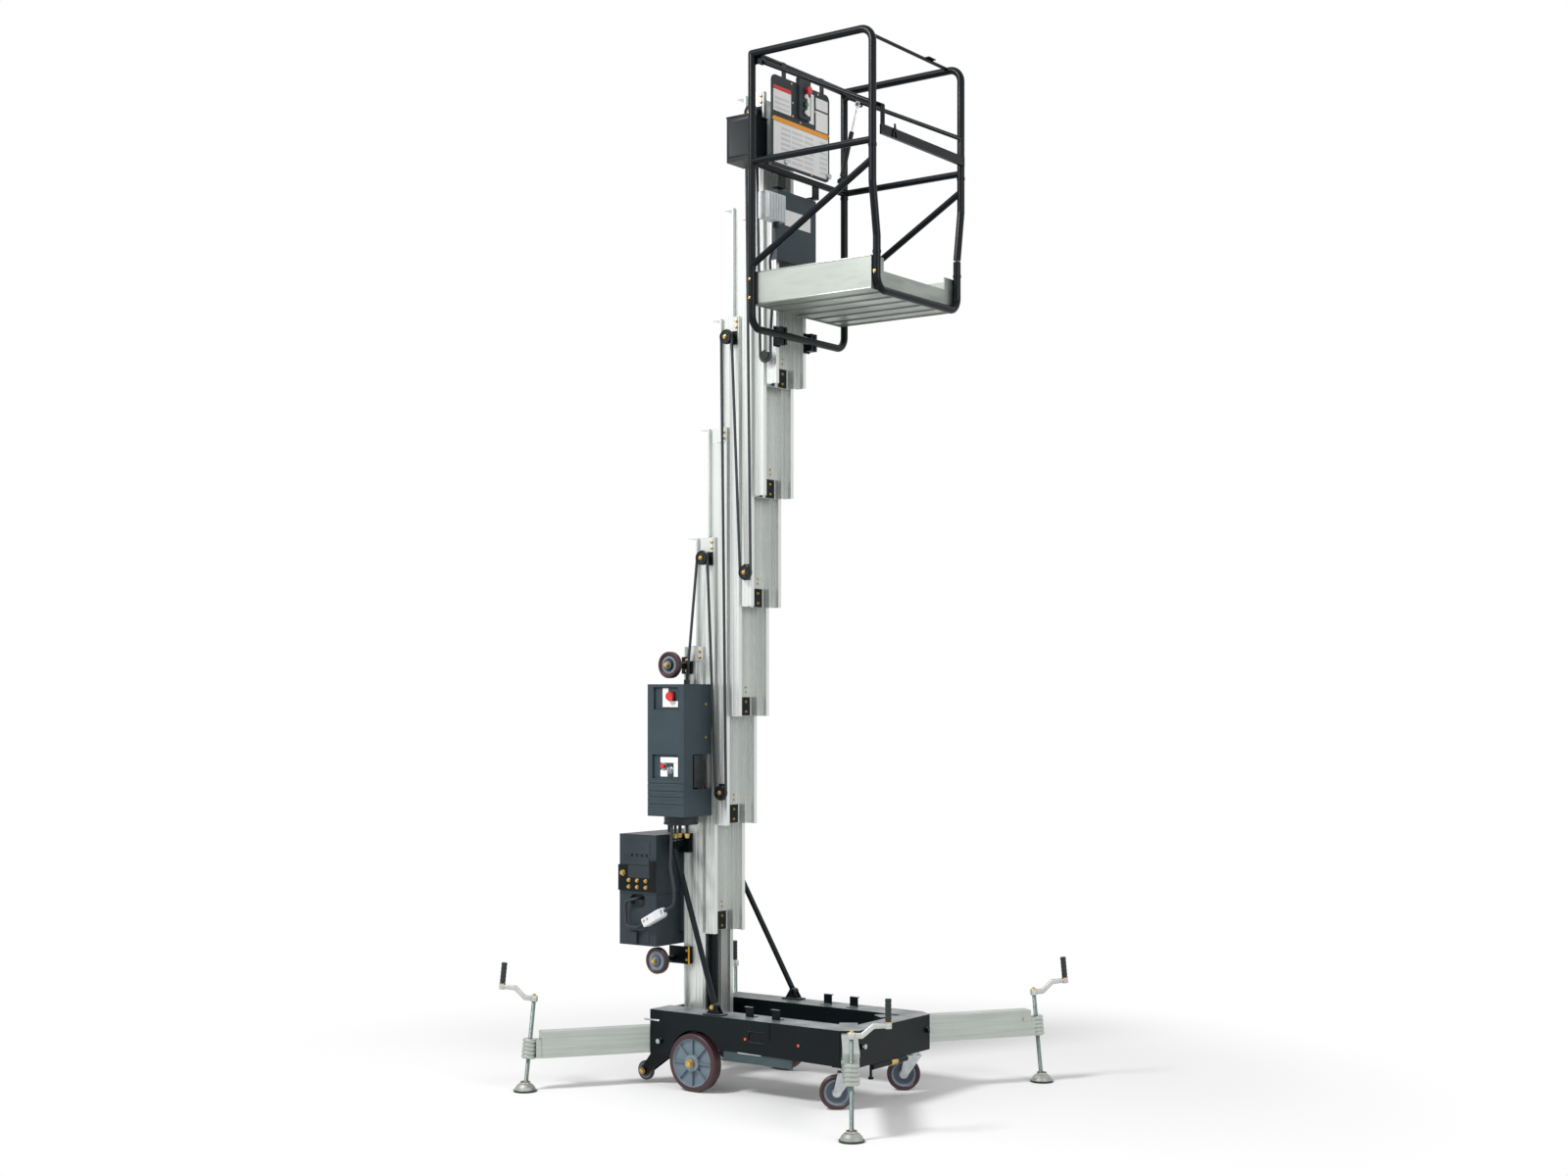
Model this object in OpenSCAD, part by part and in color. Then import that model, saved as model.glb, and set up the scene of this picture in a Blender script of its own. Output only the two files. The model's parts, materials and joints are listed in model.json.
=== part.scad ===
// Push-around mast lift: a seven-section aluminium mast on a wheeled steel base
// with four screw outriggers, a one-person platform and its hydraulic power unit.
// Millimetres. +X is forward, from the mast to the casters, +Z is up, and the
// floor is z = 0. The operator's right, the near side, is -Y.

/* [Base] */
// Length of the base frame
base_length = 1130; // [1050:10:1250]
// Width of the base frame
base_width = 678; // [640:2:740]
// Height of the base frame's top face
base_top = 352; // [340:1:380]
// Height of the frame's underside behind the rear wheels
base_low = 145; // [138:1:150]
// Height of the frame's underside at the casters
base_high = 192; // [188:1:205]
// Width of each side member
side_member = 148; // [130:1:160]
// Width of the front member
front_member = 97; // [80:1:130]
// Wall of the welded members
plate = 5; // [3:0.5:6]
// Distance of the base's middle ahead of the footprint's middle
base_shift = 30; // [20:1:40]

/* [Mast] */
// Length of a mast section
section_length = 1850; // [1700:10:1950]
// Length of the carriage, the last section
carriage_length = 870; // [800:10:1000]
// Width of the extrusion
section_width = 235; // [225:1:245]
// Depth of the extrusion
section_depth = 118; // [114:1:122]
// Forward step from one section to the next
section_pitch = 71; // [70:0.5:72]
// Height of the first section's lower end
mast_foot = 183; // [175:1:195]
// How far each section stands above the one before, as photographed
rest_lift = 508; // [400:1:600]
// Wall of the extrusion
section_wall = 5; // [4:0.5:6]
// Play between a section's flange and the channel that it runs in
slide_play = 2.5; // [1.5:0.5:3]

/* [Lift cylinder] */
// Outside diameter of the cylinder barrel
barrel_d = 50; // [46:1:54]
// Bore of the cylinder barrel
barrel_bore = 40; // [34:1:42]
// Diameter of the piston rod
rod_d = 28; // [20:1:30]
// Length of the cylinder barrel
barrel_length = 1600; // [1500:10:1650]

/* [Wheels] */
// Diameter of a rear wheel
rear_wheel_d = 264; // [250:1:280]
// Width of a rear wheel
rear_wheel_w = 60; // [50:1:64]
// Diameter of a caster wheel
caster_d = 152; // [140:1:160]
// Width of a caster wheel
caster_w = 38; // [32:1:44]
// Trail of a caster behind its pivot
caster_trail = 45; // [38:1:50]
// Heading of the casters as photographed, in degrees
caster_heading = 36; // [0:1:90]
// Diameter of a transport wheel
transport_d = 124; // [110:1:126]
// Width of a transport wheel
transport_w = 38; // [32:1:42]
// Diameter of a tilt wheel
tilt_d = 90; // [80:1:96]
// Running clearance of a wheel on its axle
axle_play = 0.1; // [0.05:0.05:0.3]

/* [Outriggers] */
// Distance of a foot ahead of or behind the footprint's middle
foot_x = 897; // [860:1:930]
// Distance of a foot from the middle plane
foot_y = 793; // [780:1:830]
// Splay of the beams from the length of the base, in degrees
beam_splay = 55; // [54:0.5:56]
// Height of a beam
beam_height = 120; // [100:1:124]
// Width of a beam
beam_width = 70; // [60:1:74]
// Wall of a beam
beam_wall = 4; // [3:0.5:6]
// Height of the front beams' centre line
front_beam_z = 283; // [280:1:286]
// Height of the rear beams' centre line
rear_beam_z = 211; // [210:1:214]
// Length of a front beam held inside the base
front_grip = 235; // [200:5:240]
// Length of a rear beam held inside the base
rear_grip = 145; // [130:5:150]
// Lean of a jack screw, in degrees
screw_lean = 5.6; // [4:0.1:7]
// Diameter of a jack screw
screw_d = 20; // [16:1:24]
// Height of the crank hub above the foot
crank_height = 424; // [400:1:450]
// Length of a crank arm
crank_arm = 150; // [130:1:170]
// Diameter of a foot
foot_d = 104; // [90:1:120]

/* [Platform] */
// Height of the platform tray's underside
tray_z = 3546; // [3530:1:3570]
// Length of the platform cage between tube centres
cage_length = 642; // [620:1:680]
// Width of the platform cage between tube centres
cage_width = 730; // [700:1:760]
// Height of the top rail above the tray's underside
rail_height = 1113; // [1080:1:1130]
// Height of the middle rail above the tray's underside
mid_rail_height = 633; // [600:1:660]
// Diameter of the cage tube
cage_tube = 34; // [30:1:38]
// Bend radius of the cage tube
cage_bend = 60; // [50:1:80]
// Height of the toe boards
toe_board = 146; // [140:1:155]
// Wall of the tray
tray_wall = 4; // [3:0.5:5]

/* [Power unit and battery] */
// Width of the power unit cover across the machine
cover_w = 210; // [195:1:212]
// Length of the power unit cover along the machine
cover_l = 214; // [200:1:216]
// Height of the power unit cover
cover_h = 611; // [580:1:615]
// Height of the cover's lower edge
cover_z = 1245; // [1240:1:1250]
// Length of the battery box along the machine
battery_l = 222; // [200:1:240]
// Width of the battery box across the machine
battery_w = 560; // [500:1:570]
// Height of the battery box
battery_h = 520; // [480:1:530]
// Height of the battery box's underside
battery_z = 632; // [628:1:640]

/* [Hidden] */
$fn = 48;

// Small gap between pieces that are bolted or pressed together
seat = 0.3;
// Overlap that carries a cut through a face
through = 1;

// Ends of the base frame
base_rear = base_shift - base_length / 2;
base_front = base_shift + base_length / 2;
side_y = base_width / 2;
inner_y = side_y - side_member;

// Mast extrusion, measured from the rear of its flange
half_width = section_width / 2;
channel_half = half_width - section_wall;
flange_half = channel_half - slide_play;
flange_t = 8;
leg_outer = 92;
leg_inner = leg_outer - section_wall - 1;
lip_t = 6;
lip_edge = leg_outer + 3;
web_x = 27;
step_x = section_pitch - section_wall - 1;
mast_rear = -518;
cap_t = 4;
cap_reach = 70;

function section_x(k) = mast_rear + (k - 1) * section_pitch;
function section_z(k) = mast_foot + (k - 1) * rest_lift;
function section_len(k) = k == 7 ? carriage_length : section_length;

// Festoon rollers: on the near side of the mast
roller_d = 66;
roller_w = 18;
roller_y = -150;
top_roller_x = 70;
top_roller_drop = 96;
low_roller_x = 108;
low_roller_rise = 154;
cable_d = 13;
cable_r = roller_d / 2 - 3;
cable_slack = 0.8;
groove_w = cable_d + 2 * cable_slack;
groove_r = cable_r - cable_d / 2 - cable_slack;
hanger_d = 44;
hanger_x = 81;
hanger_z = 125;

// Lift cylinder: between the first two webs
cylinder_x = mast_rear + (web_x + lip_t + section_pitch + web_x) / 2;
cylinder_y = 28;
barrel_z = mast_foot + 17;
rod_low = barrel_z + 20 + rest_lift;
rod_top = section_z(2) + section_length - 60;

// Rear wheels
rear_axle_x = -270;
rear_wheel_y = side_y + 28 - rear_wheel_w / 2;
axle_d = 24;
well_r = rear_wheel_d / 2 + 14;

// Tilt wheels
tilt_x = base_rear - 55;
tilt_y = 300;
tilt_z = tilt_d / 2 + 13;
tilt_w = 28;
tilt_cheek = 6;

// Transport wheels
transport_y = 235;
upper_wheel_x = -501;
upper_wheel_z = 1946;
lower_wheel_x = -576;
lower_wheel_z = 562;

// Casters
caster_x = 520;
caster_y = 270;

// Outrigger directions, counted right front, left front, right rear, left rear
jack_sign_x = [1, 1, -1, -1];
jack_sign_y = [-1, 1, -1, 1];
jack_heading = [-beam_splay, beam_splay, beam_splay - 180, 180 - beam_splay];
crank_turn = [91, -19, -19, 181];
beam_z = [front_beam_z, front_beam_z, rear_beam_z, rear_beam_z];
nut_d = 66;
nut_h = 90;
nut_play = 0.1;
socket_play = 1;

// Distance from a foot in to the mouth of its socket
mouth_front = 585;
mouth_rear = (foot_x + base_rear) / cos(beam_splay);

// Platform
cage_rear = 73;
cage_front = cage_rear + cage_length;
cage_y = cage_width / 2;
rail_z = tray_z + rail_height;
mid_z = tray_z + mid_rail_height;
tube_r = cage_tube / 2;
tray_rear = cage_rear - tube_r + 6;
tray_front = cage_front - tube_r - seat;
tray_y = cage_y - tube_r - seat;
loop_in = 34;
u_drop = 106;
carriage_front = section_x(7) + section_depth;

// Gate
gate_x = cage_rear + 27;
gate_z = rail_z - 30;
gate_y = cage_y - 36;
gate_drop = 305;
gate_front = cage_front + tube_r + 14;

// Gas spring
spring_y = gate_y - 22;
spring_low = [cage_rear + 22, spring_y, 4230];
spring_top = [gate_x + 90, spring_y, gate_z - 58];

// Console
console_x = cage_rear + tube_r + 2;
console_low = mid_z + 14;
console_high = rail_z - 60;
console_right = -250;
console_left = 205;
button_y = -10;
stop_z = console_high - 26;

// Power unit
cover_front = -343;
cover_rear = cover_front - cover_l;
cover_inner_y = -half_width - 3.5;
cover_outer_y = cover_inner_y - cover_w;
cover_wall = 4;
cover_face = 20;
unit_x = (cover_front + cover_rear) / 2;
unit_y = (cover_inner_y + cover_outer_y) / 2 + 8;

// Battery
battery_front = -548;

// Direction and turning helpers
function unit(v) = v / norm(v);

// Straight round bar between two points
module bar(a, b, r) {
    d = b - a;
    translate(a)
        rotate([0, acos(d.z / norm(d)), atan2(d.y, d.x)])
            cylinder(r = r, h = norm(d));
}

// Elbow of a bent tube at point p, between unit directions a and b
module elbow(p, a, b, r, bend) {
    turn = acos(a * b);
    back = bend * tan(turn / 2);
    start = p - a * back;
    n = unit(cross(a, b));
    side = cross(n, a);
    centre = start + side * bend;
    x = -side;
    multmatrix([
        [x.x, a.x, n.x, centre.x],
        [x.y, a.y, n.y, centre.y],
        [x.z, a.z, n.z, centre.z]
    ])
        rotate_extrude(angle = turn)
            translate([bend, 0]) circle(r = r);
}

// Tube bent round each inner point of a route
module bent_tube(route, r, bend) {
    last = len(route) - 1;
    dirs = [for (i = [0 : last - 1]) unit(route[i + 1] - route[i])];
    backs = [for (i = [0 : last]) i == 0 || i == last ? 0
        : bend * tan(acos(dirs[i - 1] * dirs[i]) / 2)];
    for (i = [0 : last - 1])
        bar(route[i] + dirs[i] * backs[i], route[i + 1] - dirs[i] * backs[i + 1], r);
    for (i = [1 : last - 1])
        elbow(route[i], dirs[i - 1], dirs[i], r, bend);
}

// Points of a route with each inner corner rounded
function rounded(route, bend, n = 5) = [
    route[0],
    for (i = [1 : len(route) - 2])
        let (a = unit(route[i] - route[i - 1]), b = unit(route[i + 1] - route[i]),
            turn = acos(min(1, a * b)), back = bend * tan(turn / 2),
            side = turn < 1 ? [0, 0, 0] : unit(b - a * (a * b)))
            each turn < 1 ? [route[i]]
                : [for (k = [0 : n]) route[i] - a * back + a * bend * sin(turn * k / n)
                    + side * bend * (1 - cos(turn * k / n))],
    route[len(route) - 1]
];

// Round flexible lead along points, in flat facets
module lead(points, r, sides = 8) {
    last = len(points) - 1;
    rings = [for (i = [0 : last])
        let (t = unit(unit(points[min(i + 1, last)] - points[max(i - 1, 0)])),
            u = unit(cross(t, [0.36, 0.9, 0.24])), v = cross(t, u))
            for (k = [0 : sides - 1])
                points[i] + r * (cos(k * 360 / sides) * u + sin(k * 360 / sides) * v)];
    polyhedron(rings, [
        [for (k = [0 : sides - 1]) k],
        [for (k = [0 : sides - 1]) last * sides + sides - 1 - k],
        for (i = [0 : last - 1], k = [0 : sides - 1])
            let (a = i * sides + k, b = i * sides + (k + 1) % sides) [a + sides, b + sides, b, a]
    ]);
}

// Hexagonal bolt head on a face, standing along +Z
module bolt_head(d, h) {
    cylinder(d = d, h = h, $fn = 6);
}

// Plate with rounded corners, in the XY plane
module round_plate(size, h, r) {
    linear_extrude(h) {
        translate([r, 0]) square([size.x - 2 * r, size.y]);
        translate([0, r]) square([size.x, size.y - 2 * r]);
        for (x = [r, size.x - r], y = [r, size.y - r])
            translate([x, y]) circle(r = r);
    }
}

// Wheel about the Y axis: tyre, rim with recess, spokes and hub, bored for its axle
module wheel(d, w, hub_d, bore_d, ribs) {
    rim_d = d * 0.83;
    dish = w * 0.28;
    rotate([90, 0, 0])
        rotate_extrude()
            polygon([
                    [bore_d / 2 + axle_play, -w / 2],
                    [hub_d / 2, -w / 2],
                    [hub_d / 2, -w / 2 + dish],
                    [rim_d / 2 - 8, -w / 2 + dish],
                    [rim_d / 2, -w / 2 + 3],
                    [d / 2 - 5, -w / 2 + 3],
                    [d / 2, -w / 2 + 8],
                    [d / 2, w / 2 - 8],
                    [d / 2 - 5, w / 2 - 3],
                    [rim_d / 2, w / 2 - 3],
                    [rim_d / 2 - 8, w / 2 - dish],
                    [hub_d / 2, w / 2 - dish],
                    [hub_d / 2, w / 2],
                    [bore_d / 2 + axle_play, w / 2]
            ]);
    if (ribs > 0)
        for (i = [0 : ribs - 1])
            rotate([0, i * 360 / ribs, 0])
                translate([hub_d / 2 - 1, -w / 2 + 4, -2])
                    cube([rim_d / 2 - hub_d / 2 - 5, w - 8, 4]);
}

// Mast extrusion outline: flange and legs that ride in the section behind,
// web, step, side walls with flutes, and lips that hold the section ahead
module mast_outline() {
    difference() {
        union() {
            translate([web_x, -leg_outer]) square([lip_t, 2 * leg_outer]);
            for (s = [-1, 1]) scale([1, s]) half_outline();
        }
        for (s = [-1, 1])
            for (x = [0.3, 0.7])
                translate([step_x + (section_depth - step_x) * x, s * half_width])
                    circle(r = 2.5, $fn = 24);
    }
}

module half_outline() {
    translate([0, leg_inner - 2]) square([flange_t, flange_half - leg_inner + 2]);
    translate([0, leg_inner]) square([step_x + section_wall, leg_outer - leg_inner]);
    translate([step_x, leg_inner]) square([section_wall, half_width - leg_inner]);
    translate([step_x, channel_half]) square([section_depth - step_x, section_wall]);
    translate([section_depth - lip_t, lip_edge]) square([lip_t, half_width - lip_edge]);
}

// One mast section, k from 1 to 7, with its cap, side plate and wear pads
module mast_section(k) {
    h = section_len(k);
    color("gainsboro")
    translate([section_x(k), 0, section_z(k)]) {
        difference() {
            linear_extrude(h) mast_outline();
            if (k > 1) pad_notches();
        }
        if (k < 7) top_plates(h, k == 1 ? 0 : cap_reach);
        if (k > 1) low_blocks();
        if (k > 1) low_pads();
        if (k < 7) high_pads(h);
        if (k == 2 || k == 4 || k == 6)
            festoon_roller(top_roller_x, h - top_roller_drop);
        if (k == 3 || k == 5)
            festoon_roller(low_roller_x, low_roller_rise);
        if (k == 7)
            cable_hanger();
    }
}

// Notches in the web's lower end for the slider blocks
block_w = 70;
block_h = 90;
module pad_notches() {
    for (s = [-1, 1])
        translate([web_x - through, s * (12 + block_w / 2) - block_w / 2, -through])
            cube([lip_t + 2 * through, block_w, block_h + through]);
}

module low_blocks() {
    for (s = [-1, 1])
        translate([web_x - 4, s * (12 + block_w / 2) - block_w / 2 + seat, 1])
            difference() {
                cube([9, block_w - 2 * seat, block_h - 1 - seat]);
                for (z = [20, 66])
                    translate([8, block_w / 2, z])
                        rotate([0, 90, 0]) cylinder(d = 12, h = 4, $fn = 24);
            }
}

// Wear pads behind the lips, at the lower end and at the top
pad_length = 80;
module low_pads() {
    for (s = [-1, 1])
        translate([flange_t + seat, s * (leg_outer + flange_half) / 2 + s * 0.4, 4])
            translate([0, -(flange_half - leg_outer - 2) / 2, 0])
                cube([section_depth - lip_t - section_pitch - flange_t - 3 * seat,
                    flange_half - leg_outer - 2, pad_length]);
}

module high_pads(h) {
    pad_x = section_pitch + flange_t + 3 * seat;
    for (s = [-1, 1])
        translate([pad_x, s * (lip_edge + channel_half) / 2, h - pad_length - 4])
            translate([0, -(channel_half - lip_edge - 2 * seat) / 2, 0])
                cube([section_depth - lip_t - pad_x - seat,
                    channel_half - lip_edge - 2 * seat, pad_length]);
}

// Cap plate that reaches back over the section behind, and bolted side plate
module top_plates(h, reach) {
    translate([-reach, -leg_inner + 6, h + seat])
        cube([reach + web_x + lip_t, 2 * leg_inner - 12, cap_t]);
    for (s = [-1, 1])
        translate([40, s < 0 ? -half_width - 4 - seat : half_width + seat, h - 68])
            cube([section_pitch - 1, 4, 66]);
    for (z = [h - 22, h - 50])
        translate([section_depth - 14, -half_width - 4 - seat, z])
            rotate([90, 0, 0]) bolt_head(9, 4);
}

// Roller for the control cable, on a bolted stand-off
module festoon_roller(x, z) {
    translate([x, 0, z]) {
        translate([0, -half_width - seat, 0])
            rotate([90, 0, 0]) cylinder(d = 22, h = -roller_y - half_width - roller_w / 2);
        translate([0, roller_y, 0])
            rotate([90, 0, 0])
                rotate_extrude()
                    polygon([
                        [0, -roller_w / 2], [roller_d / 2, -roller_w / 2],
                        [roller_d / 2, -groove_w / 2], [groove_r, -groove_w / 2],
                        [groove_r, groove_w / 2], [roller_d / 2, groove_w / 2],
                        [roller_d / 2, roller_w / 2], [0, roller_w / 2]
                    ]);
        translate([0, roller_y - roller_w / 2, 0])
            rotate([90, 0, 0]) bolt_head(13, 8);
    }
}

// Small return bracket for the cable on the carriage
hanger_w = 16;
module cable_hanger() {
    stand = -roller_y - half_width - seat - hanger_w / 2;
    translate([hanger_x, -half_width - seat, hanger_z])
        rotate([90, 0, 0]) {
            cylinder(d = 18, h = stand + through);
            translate([0, 0, stand]) cylinder(d = hanger_d, h = hanger_w);
        }
}

module mast_section_1() { mast_section(1); }
module mast_section_2() { mast_section(2); }
module mast_section_3() { mast_section(3); }
module mast_section_4() { mast_section(4); }
module mast_section_5() { mast_section(5); }
module mast_section_6() { mast_section(6); }
module mast_section_7() { mast_section(7); }

// Base frame seen from above, drawn in by i for the hollow inside
module frame_plan(i) {
    difference() {
        union() {
            for (s = [-1, 1])
                translate([base_rear + i, s > 0 ? inner_y + i : -side_y + i])
                    square([base_length - 2 * i, side_member - 2 * i]);
            translate([base_front - front_member + i, -side_y + i])
                square([front_member - 2 * i, base_width - 2 * i]);
        }
        for (j = [0, 1])
            translate([foot_x, jack_sign_y[j] * foot_y])
                rotate(jack_heading[j])
                    translate([-mouth_front - i, -200]) square([400, 400]);
    }
}

// Base frame seen from the side, drawn in by i
module frame_side(i) {
    polygon([
        [base_rear - through, base_top - i],
        [base_front + through, base_top - i],
        [base_front + through, base_high + i],
        [-50, base_high + 12 + i],
        [-140, base_high + 12 + i],
        [-400, base_low + i],
        [base_rear - through, base_low + i]
    ]);
}

module frame_body(i) {
    intersection() {
        linear_extrude(base_top + 50) frame_plan(i);
        translate([0, side_y + 50, 0])
            rotate([90, 0, 0]) linear_extrude(base_width + 100) frame_side(i);
    }
}

// Distance from a foot in to the beam's inner end
function mouth(j) = j < 2 ? mouth_front : mouth_rear;
function beam_inner(j) = mouth(j) + (j < 2 ? front_grip : rear_grip);

// Straight prism along an outrigger, from its inner end out to u, grown by g
module beam_space(j, u, g) {
    inner = beam_inner(j) + g;
    translate([jack_sign_x[j] * foot_x, jack_sign_y[j] * foot_y, beam_z[j]])
        rotate(jack_heading[j])
            translate([-inner, -beam_width / 2 - g, -beam_height / 2 - g])
                cube([inner + u, beam_width + 2 * g, beam_height + 2 * g]);
}

// Lock pins: front ones along X through the front panel, rear ones along Y
pin_d = 12;
pin_play = 0.1;
pin_bite = 12;
beam_recess = 2;
boss_h = 8;
front_pin_y = 268;
rear_pin_x = -473;
knob_d = 22;

// Depth from the panel to the side of the beam where a pin meets it
front_pin_depth = base_front - (foot_x - (foot_y - front_pin_y) / tan(beam_splay)
    + beam_width / 2 / sin(beam_splay));
rear_pin_depth = side_y - (foot_y - (foot_x + rear_pin_x) * tan(beam_splay))
    - beam_width / 2 / cos(beam_splay);

module pin_frame(j) {
    if (j < 2)
        translate([base_front, jack_sign_y[j] * front_pin_y, beam_z[j]])
            rotate([0, 90, 0]) children();
    else
        translate([rear_pin_x, jack_sign_y[j] * side_y, beam_z[j]])
            rotate([-jack_sign_y[j] * 90, 0, 0]) children();
}

function pin_reach(j) = (j < 2 ? front_pin_depth : rear_pin_depth) + pin_bite;

module lock_pin(j) {
    color("silver")
    difference() {
        pin_frame(j) {
            translate([0, 0, -pin_reach(j)]) cylinder(d = pin_d, h = pin_reach(j) + 14);
            translate([0, 0, 12]) cylinder(d = knob_d, h = 10);
        }
        beam_space(j, 100, seat - beam_recess);
    }
}
module lock_pin_front_right() { lock_pin(0); }
module lock_pin_front_left() { lock_pin(1); }
module lock_pin_rear_right() { lock_pin(2); }
module lock_pin_rear_left() { lock_pin(3); }

// Storage clip on a side member's top
module storage_clip() {
    clip_w = 44;
    translate([-clip_w / 2, -15, 0]) {
        cube([clip_w, 34, 4]);
        cube([clip_w, 4, 48]);
        translate([0, -12, 44]) cube([clip_w, 14, 4]);
    }
}

// Cheek and stub axle that carry a rear wheel
module wheel_mount(s) {
    y_well = rear_wheel_y - rear_wheel_w / 2 - 6;
    z_axle = rear_wheel_d / 2;
    scale([1, s, 1])
        translate([rear_axle_x, 0, z_axle]) {
            translate([-45, y_well - 12, -35]) cube([90, 12, 90]);
            translate([0, y_well - 8, 0]) rotate([-90, 0, 0]) cylinder(d = axle_d + 16, h = 12);
            translate([0, y_well - 8, 0])
                rotate([-90, 0, 0]) cylinder(d = axle_d, h = rear_wheel_w + 18);
            translate([0, rear_wheel_y + rear_wheel_w / 2 + 1, 0])
                rotate([-90, 0, 0]) bolt_head(axle_d + 10, 7);
        }
}

// Two cheeks behind the frame with the tilt wheel's bolt between them
module tilt_arm(s) {
    scale([1, s, 1])
        for (side = [-1, 1])
            translate([0, tilt_y + side * (tilt_w / 2 + 1.5 + tilt_cheek / 2), 0])
                rotate([90, 0, 0])
                    translate([0, 0, -tilt_cheek / 2])
                        linear_extrude(tilt_cheek) {
                            polygon([
                                [tilt_x - 14, tilt_z + 12], [tilt_x + 12, tilt_z - 16],
                                [base_rear + 75, base_low - 20],
                                [base_rear + 110, base_low + 1],
                                [base_rear - 8, base_low + 1]
                            ]);
                            translate([tilt_x, tilt_z]) circle(d = 40);
                        }
    scale([1, s, 1])
        translate([tilt_x, tilt_y - tilt_w / 2 - 5, tilt_z])
            rotate([-90, 0, 0]) cylinder(d = 12, h = tilt_w + 10);
    scale([1, s, 1])
        translate([tilt_x, tilt_y + tilt_w / 2 + 1.5 + tilt_cheek - 0.5, tilt_z])
            rotate([-90, 0, 0]) bolt_head(20, 6);
}

king_pin_d = 16;
fork_plate_z = caster_d + 6;
module caster_mount(s) {
    translate([caster_x, s * caster_y, 0]) {
        translate([0, 0, fork_plate_z + 1]) cylinder(d = king_pin_d, h = base_high - fork_plate_z);
        translate([0, 0, fork_plate_z - 5.5]) cylinder(d = king_pin_d + 10, h = 5);
        translate([0, 0, fork_plate_z - 3]) cylinder(d = king_pin_d, h = 6);
        translate([-50, -45, base_high - 7]) cube([100, 90, 8]);
    }
}

floor_x = 138;
floor_t = 10;

// Floor under the mast and the cheeks that hold its foot
module mast_seat() {
    translate([base_rear, -inner_y - 1, mast_foot - floor_t - seat])
        cube([floor_x, 2 * inner_y + 2, floor_t]);
    translate([base_rear, -inner_y - 1, base_low + 8])
        cube([-seat - base_rear + mast_rear, 2 * inner_y + 2, base_top - base_low - 14]);
    for (s = [-1, 1])
        scale([1, s, 1]) {
            translate([mast_rear + flange_t + seat, leg_outer + seat, mast_foot - floor_t])
                cube([10, inner_y - leg_outer + 1, 150]);
            translate([mast_rear + step_x - 4, half_width + seat, mast_foot - floor_t])
                cube([10, inner_y - half_width + 1, 150]);
        }
}

// Cheeks under the front panel that carry the brake bar's pin, and a plunger beside them
pedal_d = 24;
pedal_reach = 40;
pedal_drop = 16;
pedal_w = 46;
pedal_pin_d = 12;
cheek_t = 8;
module pedal_frame() {
    translate([base_front - 12 - pedal_reach, 0, base_high - pedal_drop]) children();
}

module front_bar() {
    for (s = [-1, 1])
        scale([1, s, 1])
            difference() {
                pedal_frame()
                    translate([-pedal_pin_d, pedal_w / 2 + seat, -pedal_pin_d])
                        cube([2 * pedal_pin_d, cheek_t, pedal_drop + pedal_pin_d + 1]);
                pedal_frame()
                    rotate([-90, 0, 0]) cylinder(d = pedal_pin_d + 0.2, h = pedal_w);
            }
    translate([base_front - 45, -128, base_high - 78]) cylinder(d = 12, h = 80);
    translate([base_front - 45, -128, base_high - 78]) cylinder(d = 24, h = 10);
}

module chassis_frame() {
    color([0.09, 0.12, 0.13]) {
    difference() {
        union() {
            difference() {
                frame_body(0);
                difference() {
                    frame_body(plate);
                    for (j = [0 : 3]) beam_space(j, 100, plate + socket_play);
                    for (s = [-1, 1]) well(s, plate);
                }
            }
            for (s = [-1, 1]) {
                caster_mount(s);
                tilt_arm(s);
            }
            mast_seat();
            front_bar();
            for (x = [-15, 132]) translate([x, -250, base_top - 1]) storage_clip();
            for (x = [50, 197]) translate([x, 250, base_top - 1])
                scale([1, -1, 1]) storage_clip();
            for (j = [0 : 3])
                pin_frame(j) translate([0, 0, -20]) cylinder(d = knob_d + 4, h = 20 + boss_h);
            for (j = [0 : 3])
                intersection() {
                    beam_space(j, -mouth(j) - 60, plate + socket_play);
                    translate([base_rear, -side_y, 0]) cube([base_length, base_width, base_top]);
                }
        }
        for (s = [-1, 1]) well(s, 0);
        for (j = [0 : 3]) {
            beam_space(j, 100, socket_play);
            pin_frame(j)
                translate([0, 0, -pin_reach(j)])
                    cylinder(d = pin_d + 2 * pin_play, h = pin_reach(j) + 40);
        }
        for (s = [-1, 1])
            scale([1, s, 1])
                translate([83, side_y - 4, 278])
                    rotate([-90, 0, 0]) slot(98, 45, 10);
    }
    for (s = [-1, 1]) wheel_mount(s);
    }
}

module slot(l, w, h) {
    for (x = [-1, 1]) translate([x * (l - w) / 2, 0, 0]) cylinder(d = w, h = h);
    translate([-(l - w) / 2, -w / 2, 0]) cube([l - w, w, h]);
}

// Wheel well in a side member, grown by g for its lining
module well(s, g) {
    scale([1, s, 1])
        translate([rear_axle_x, rear_wheel_y - rear_wheel_w / 2 - 6 - g, rear_wheel_d / 2])
            rotate([-90, 0, 0]) cylinder(r = well_r + g, h = rear_wheel_w);
}

// Brace struts from the side members to the mast, and the brackets on the mast
brace_foot = [-180, 306, base_top + 38];
brace_head = [-515, 190, 1110];
strut_r = 13;

module strut(s) {
    a = [brace_foot.x, s * brace_foot.y, brace_foot.z];
    b = [brace_head.x, s * brace_head.y, brace_head.z];
    difference() {
        union() {
            bar(a + unit(b - a) * 8, b - unit(b - a) * 8, strut_r);
            for (p = [a, b])
                translate(p) rotate([90, 0, 0]) cylinder(r = 15, h = 18, center = true);
        }
        for (p = [a, b])
            translate(p) rotate([90, 0, 0]) cylinder(r = 6.3, h = 60, center = true);
        for (p = [a, b], side = [-1, 1])
            translate(p + [0, side * (9 + 20), 0]) cube([50, 40, 50], center = true);
    }
}

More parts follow.
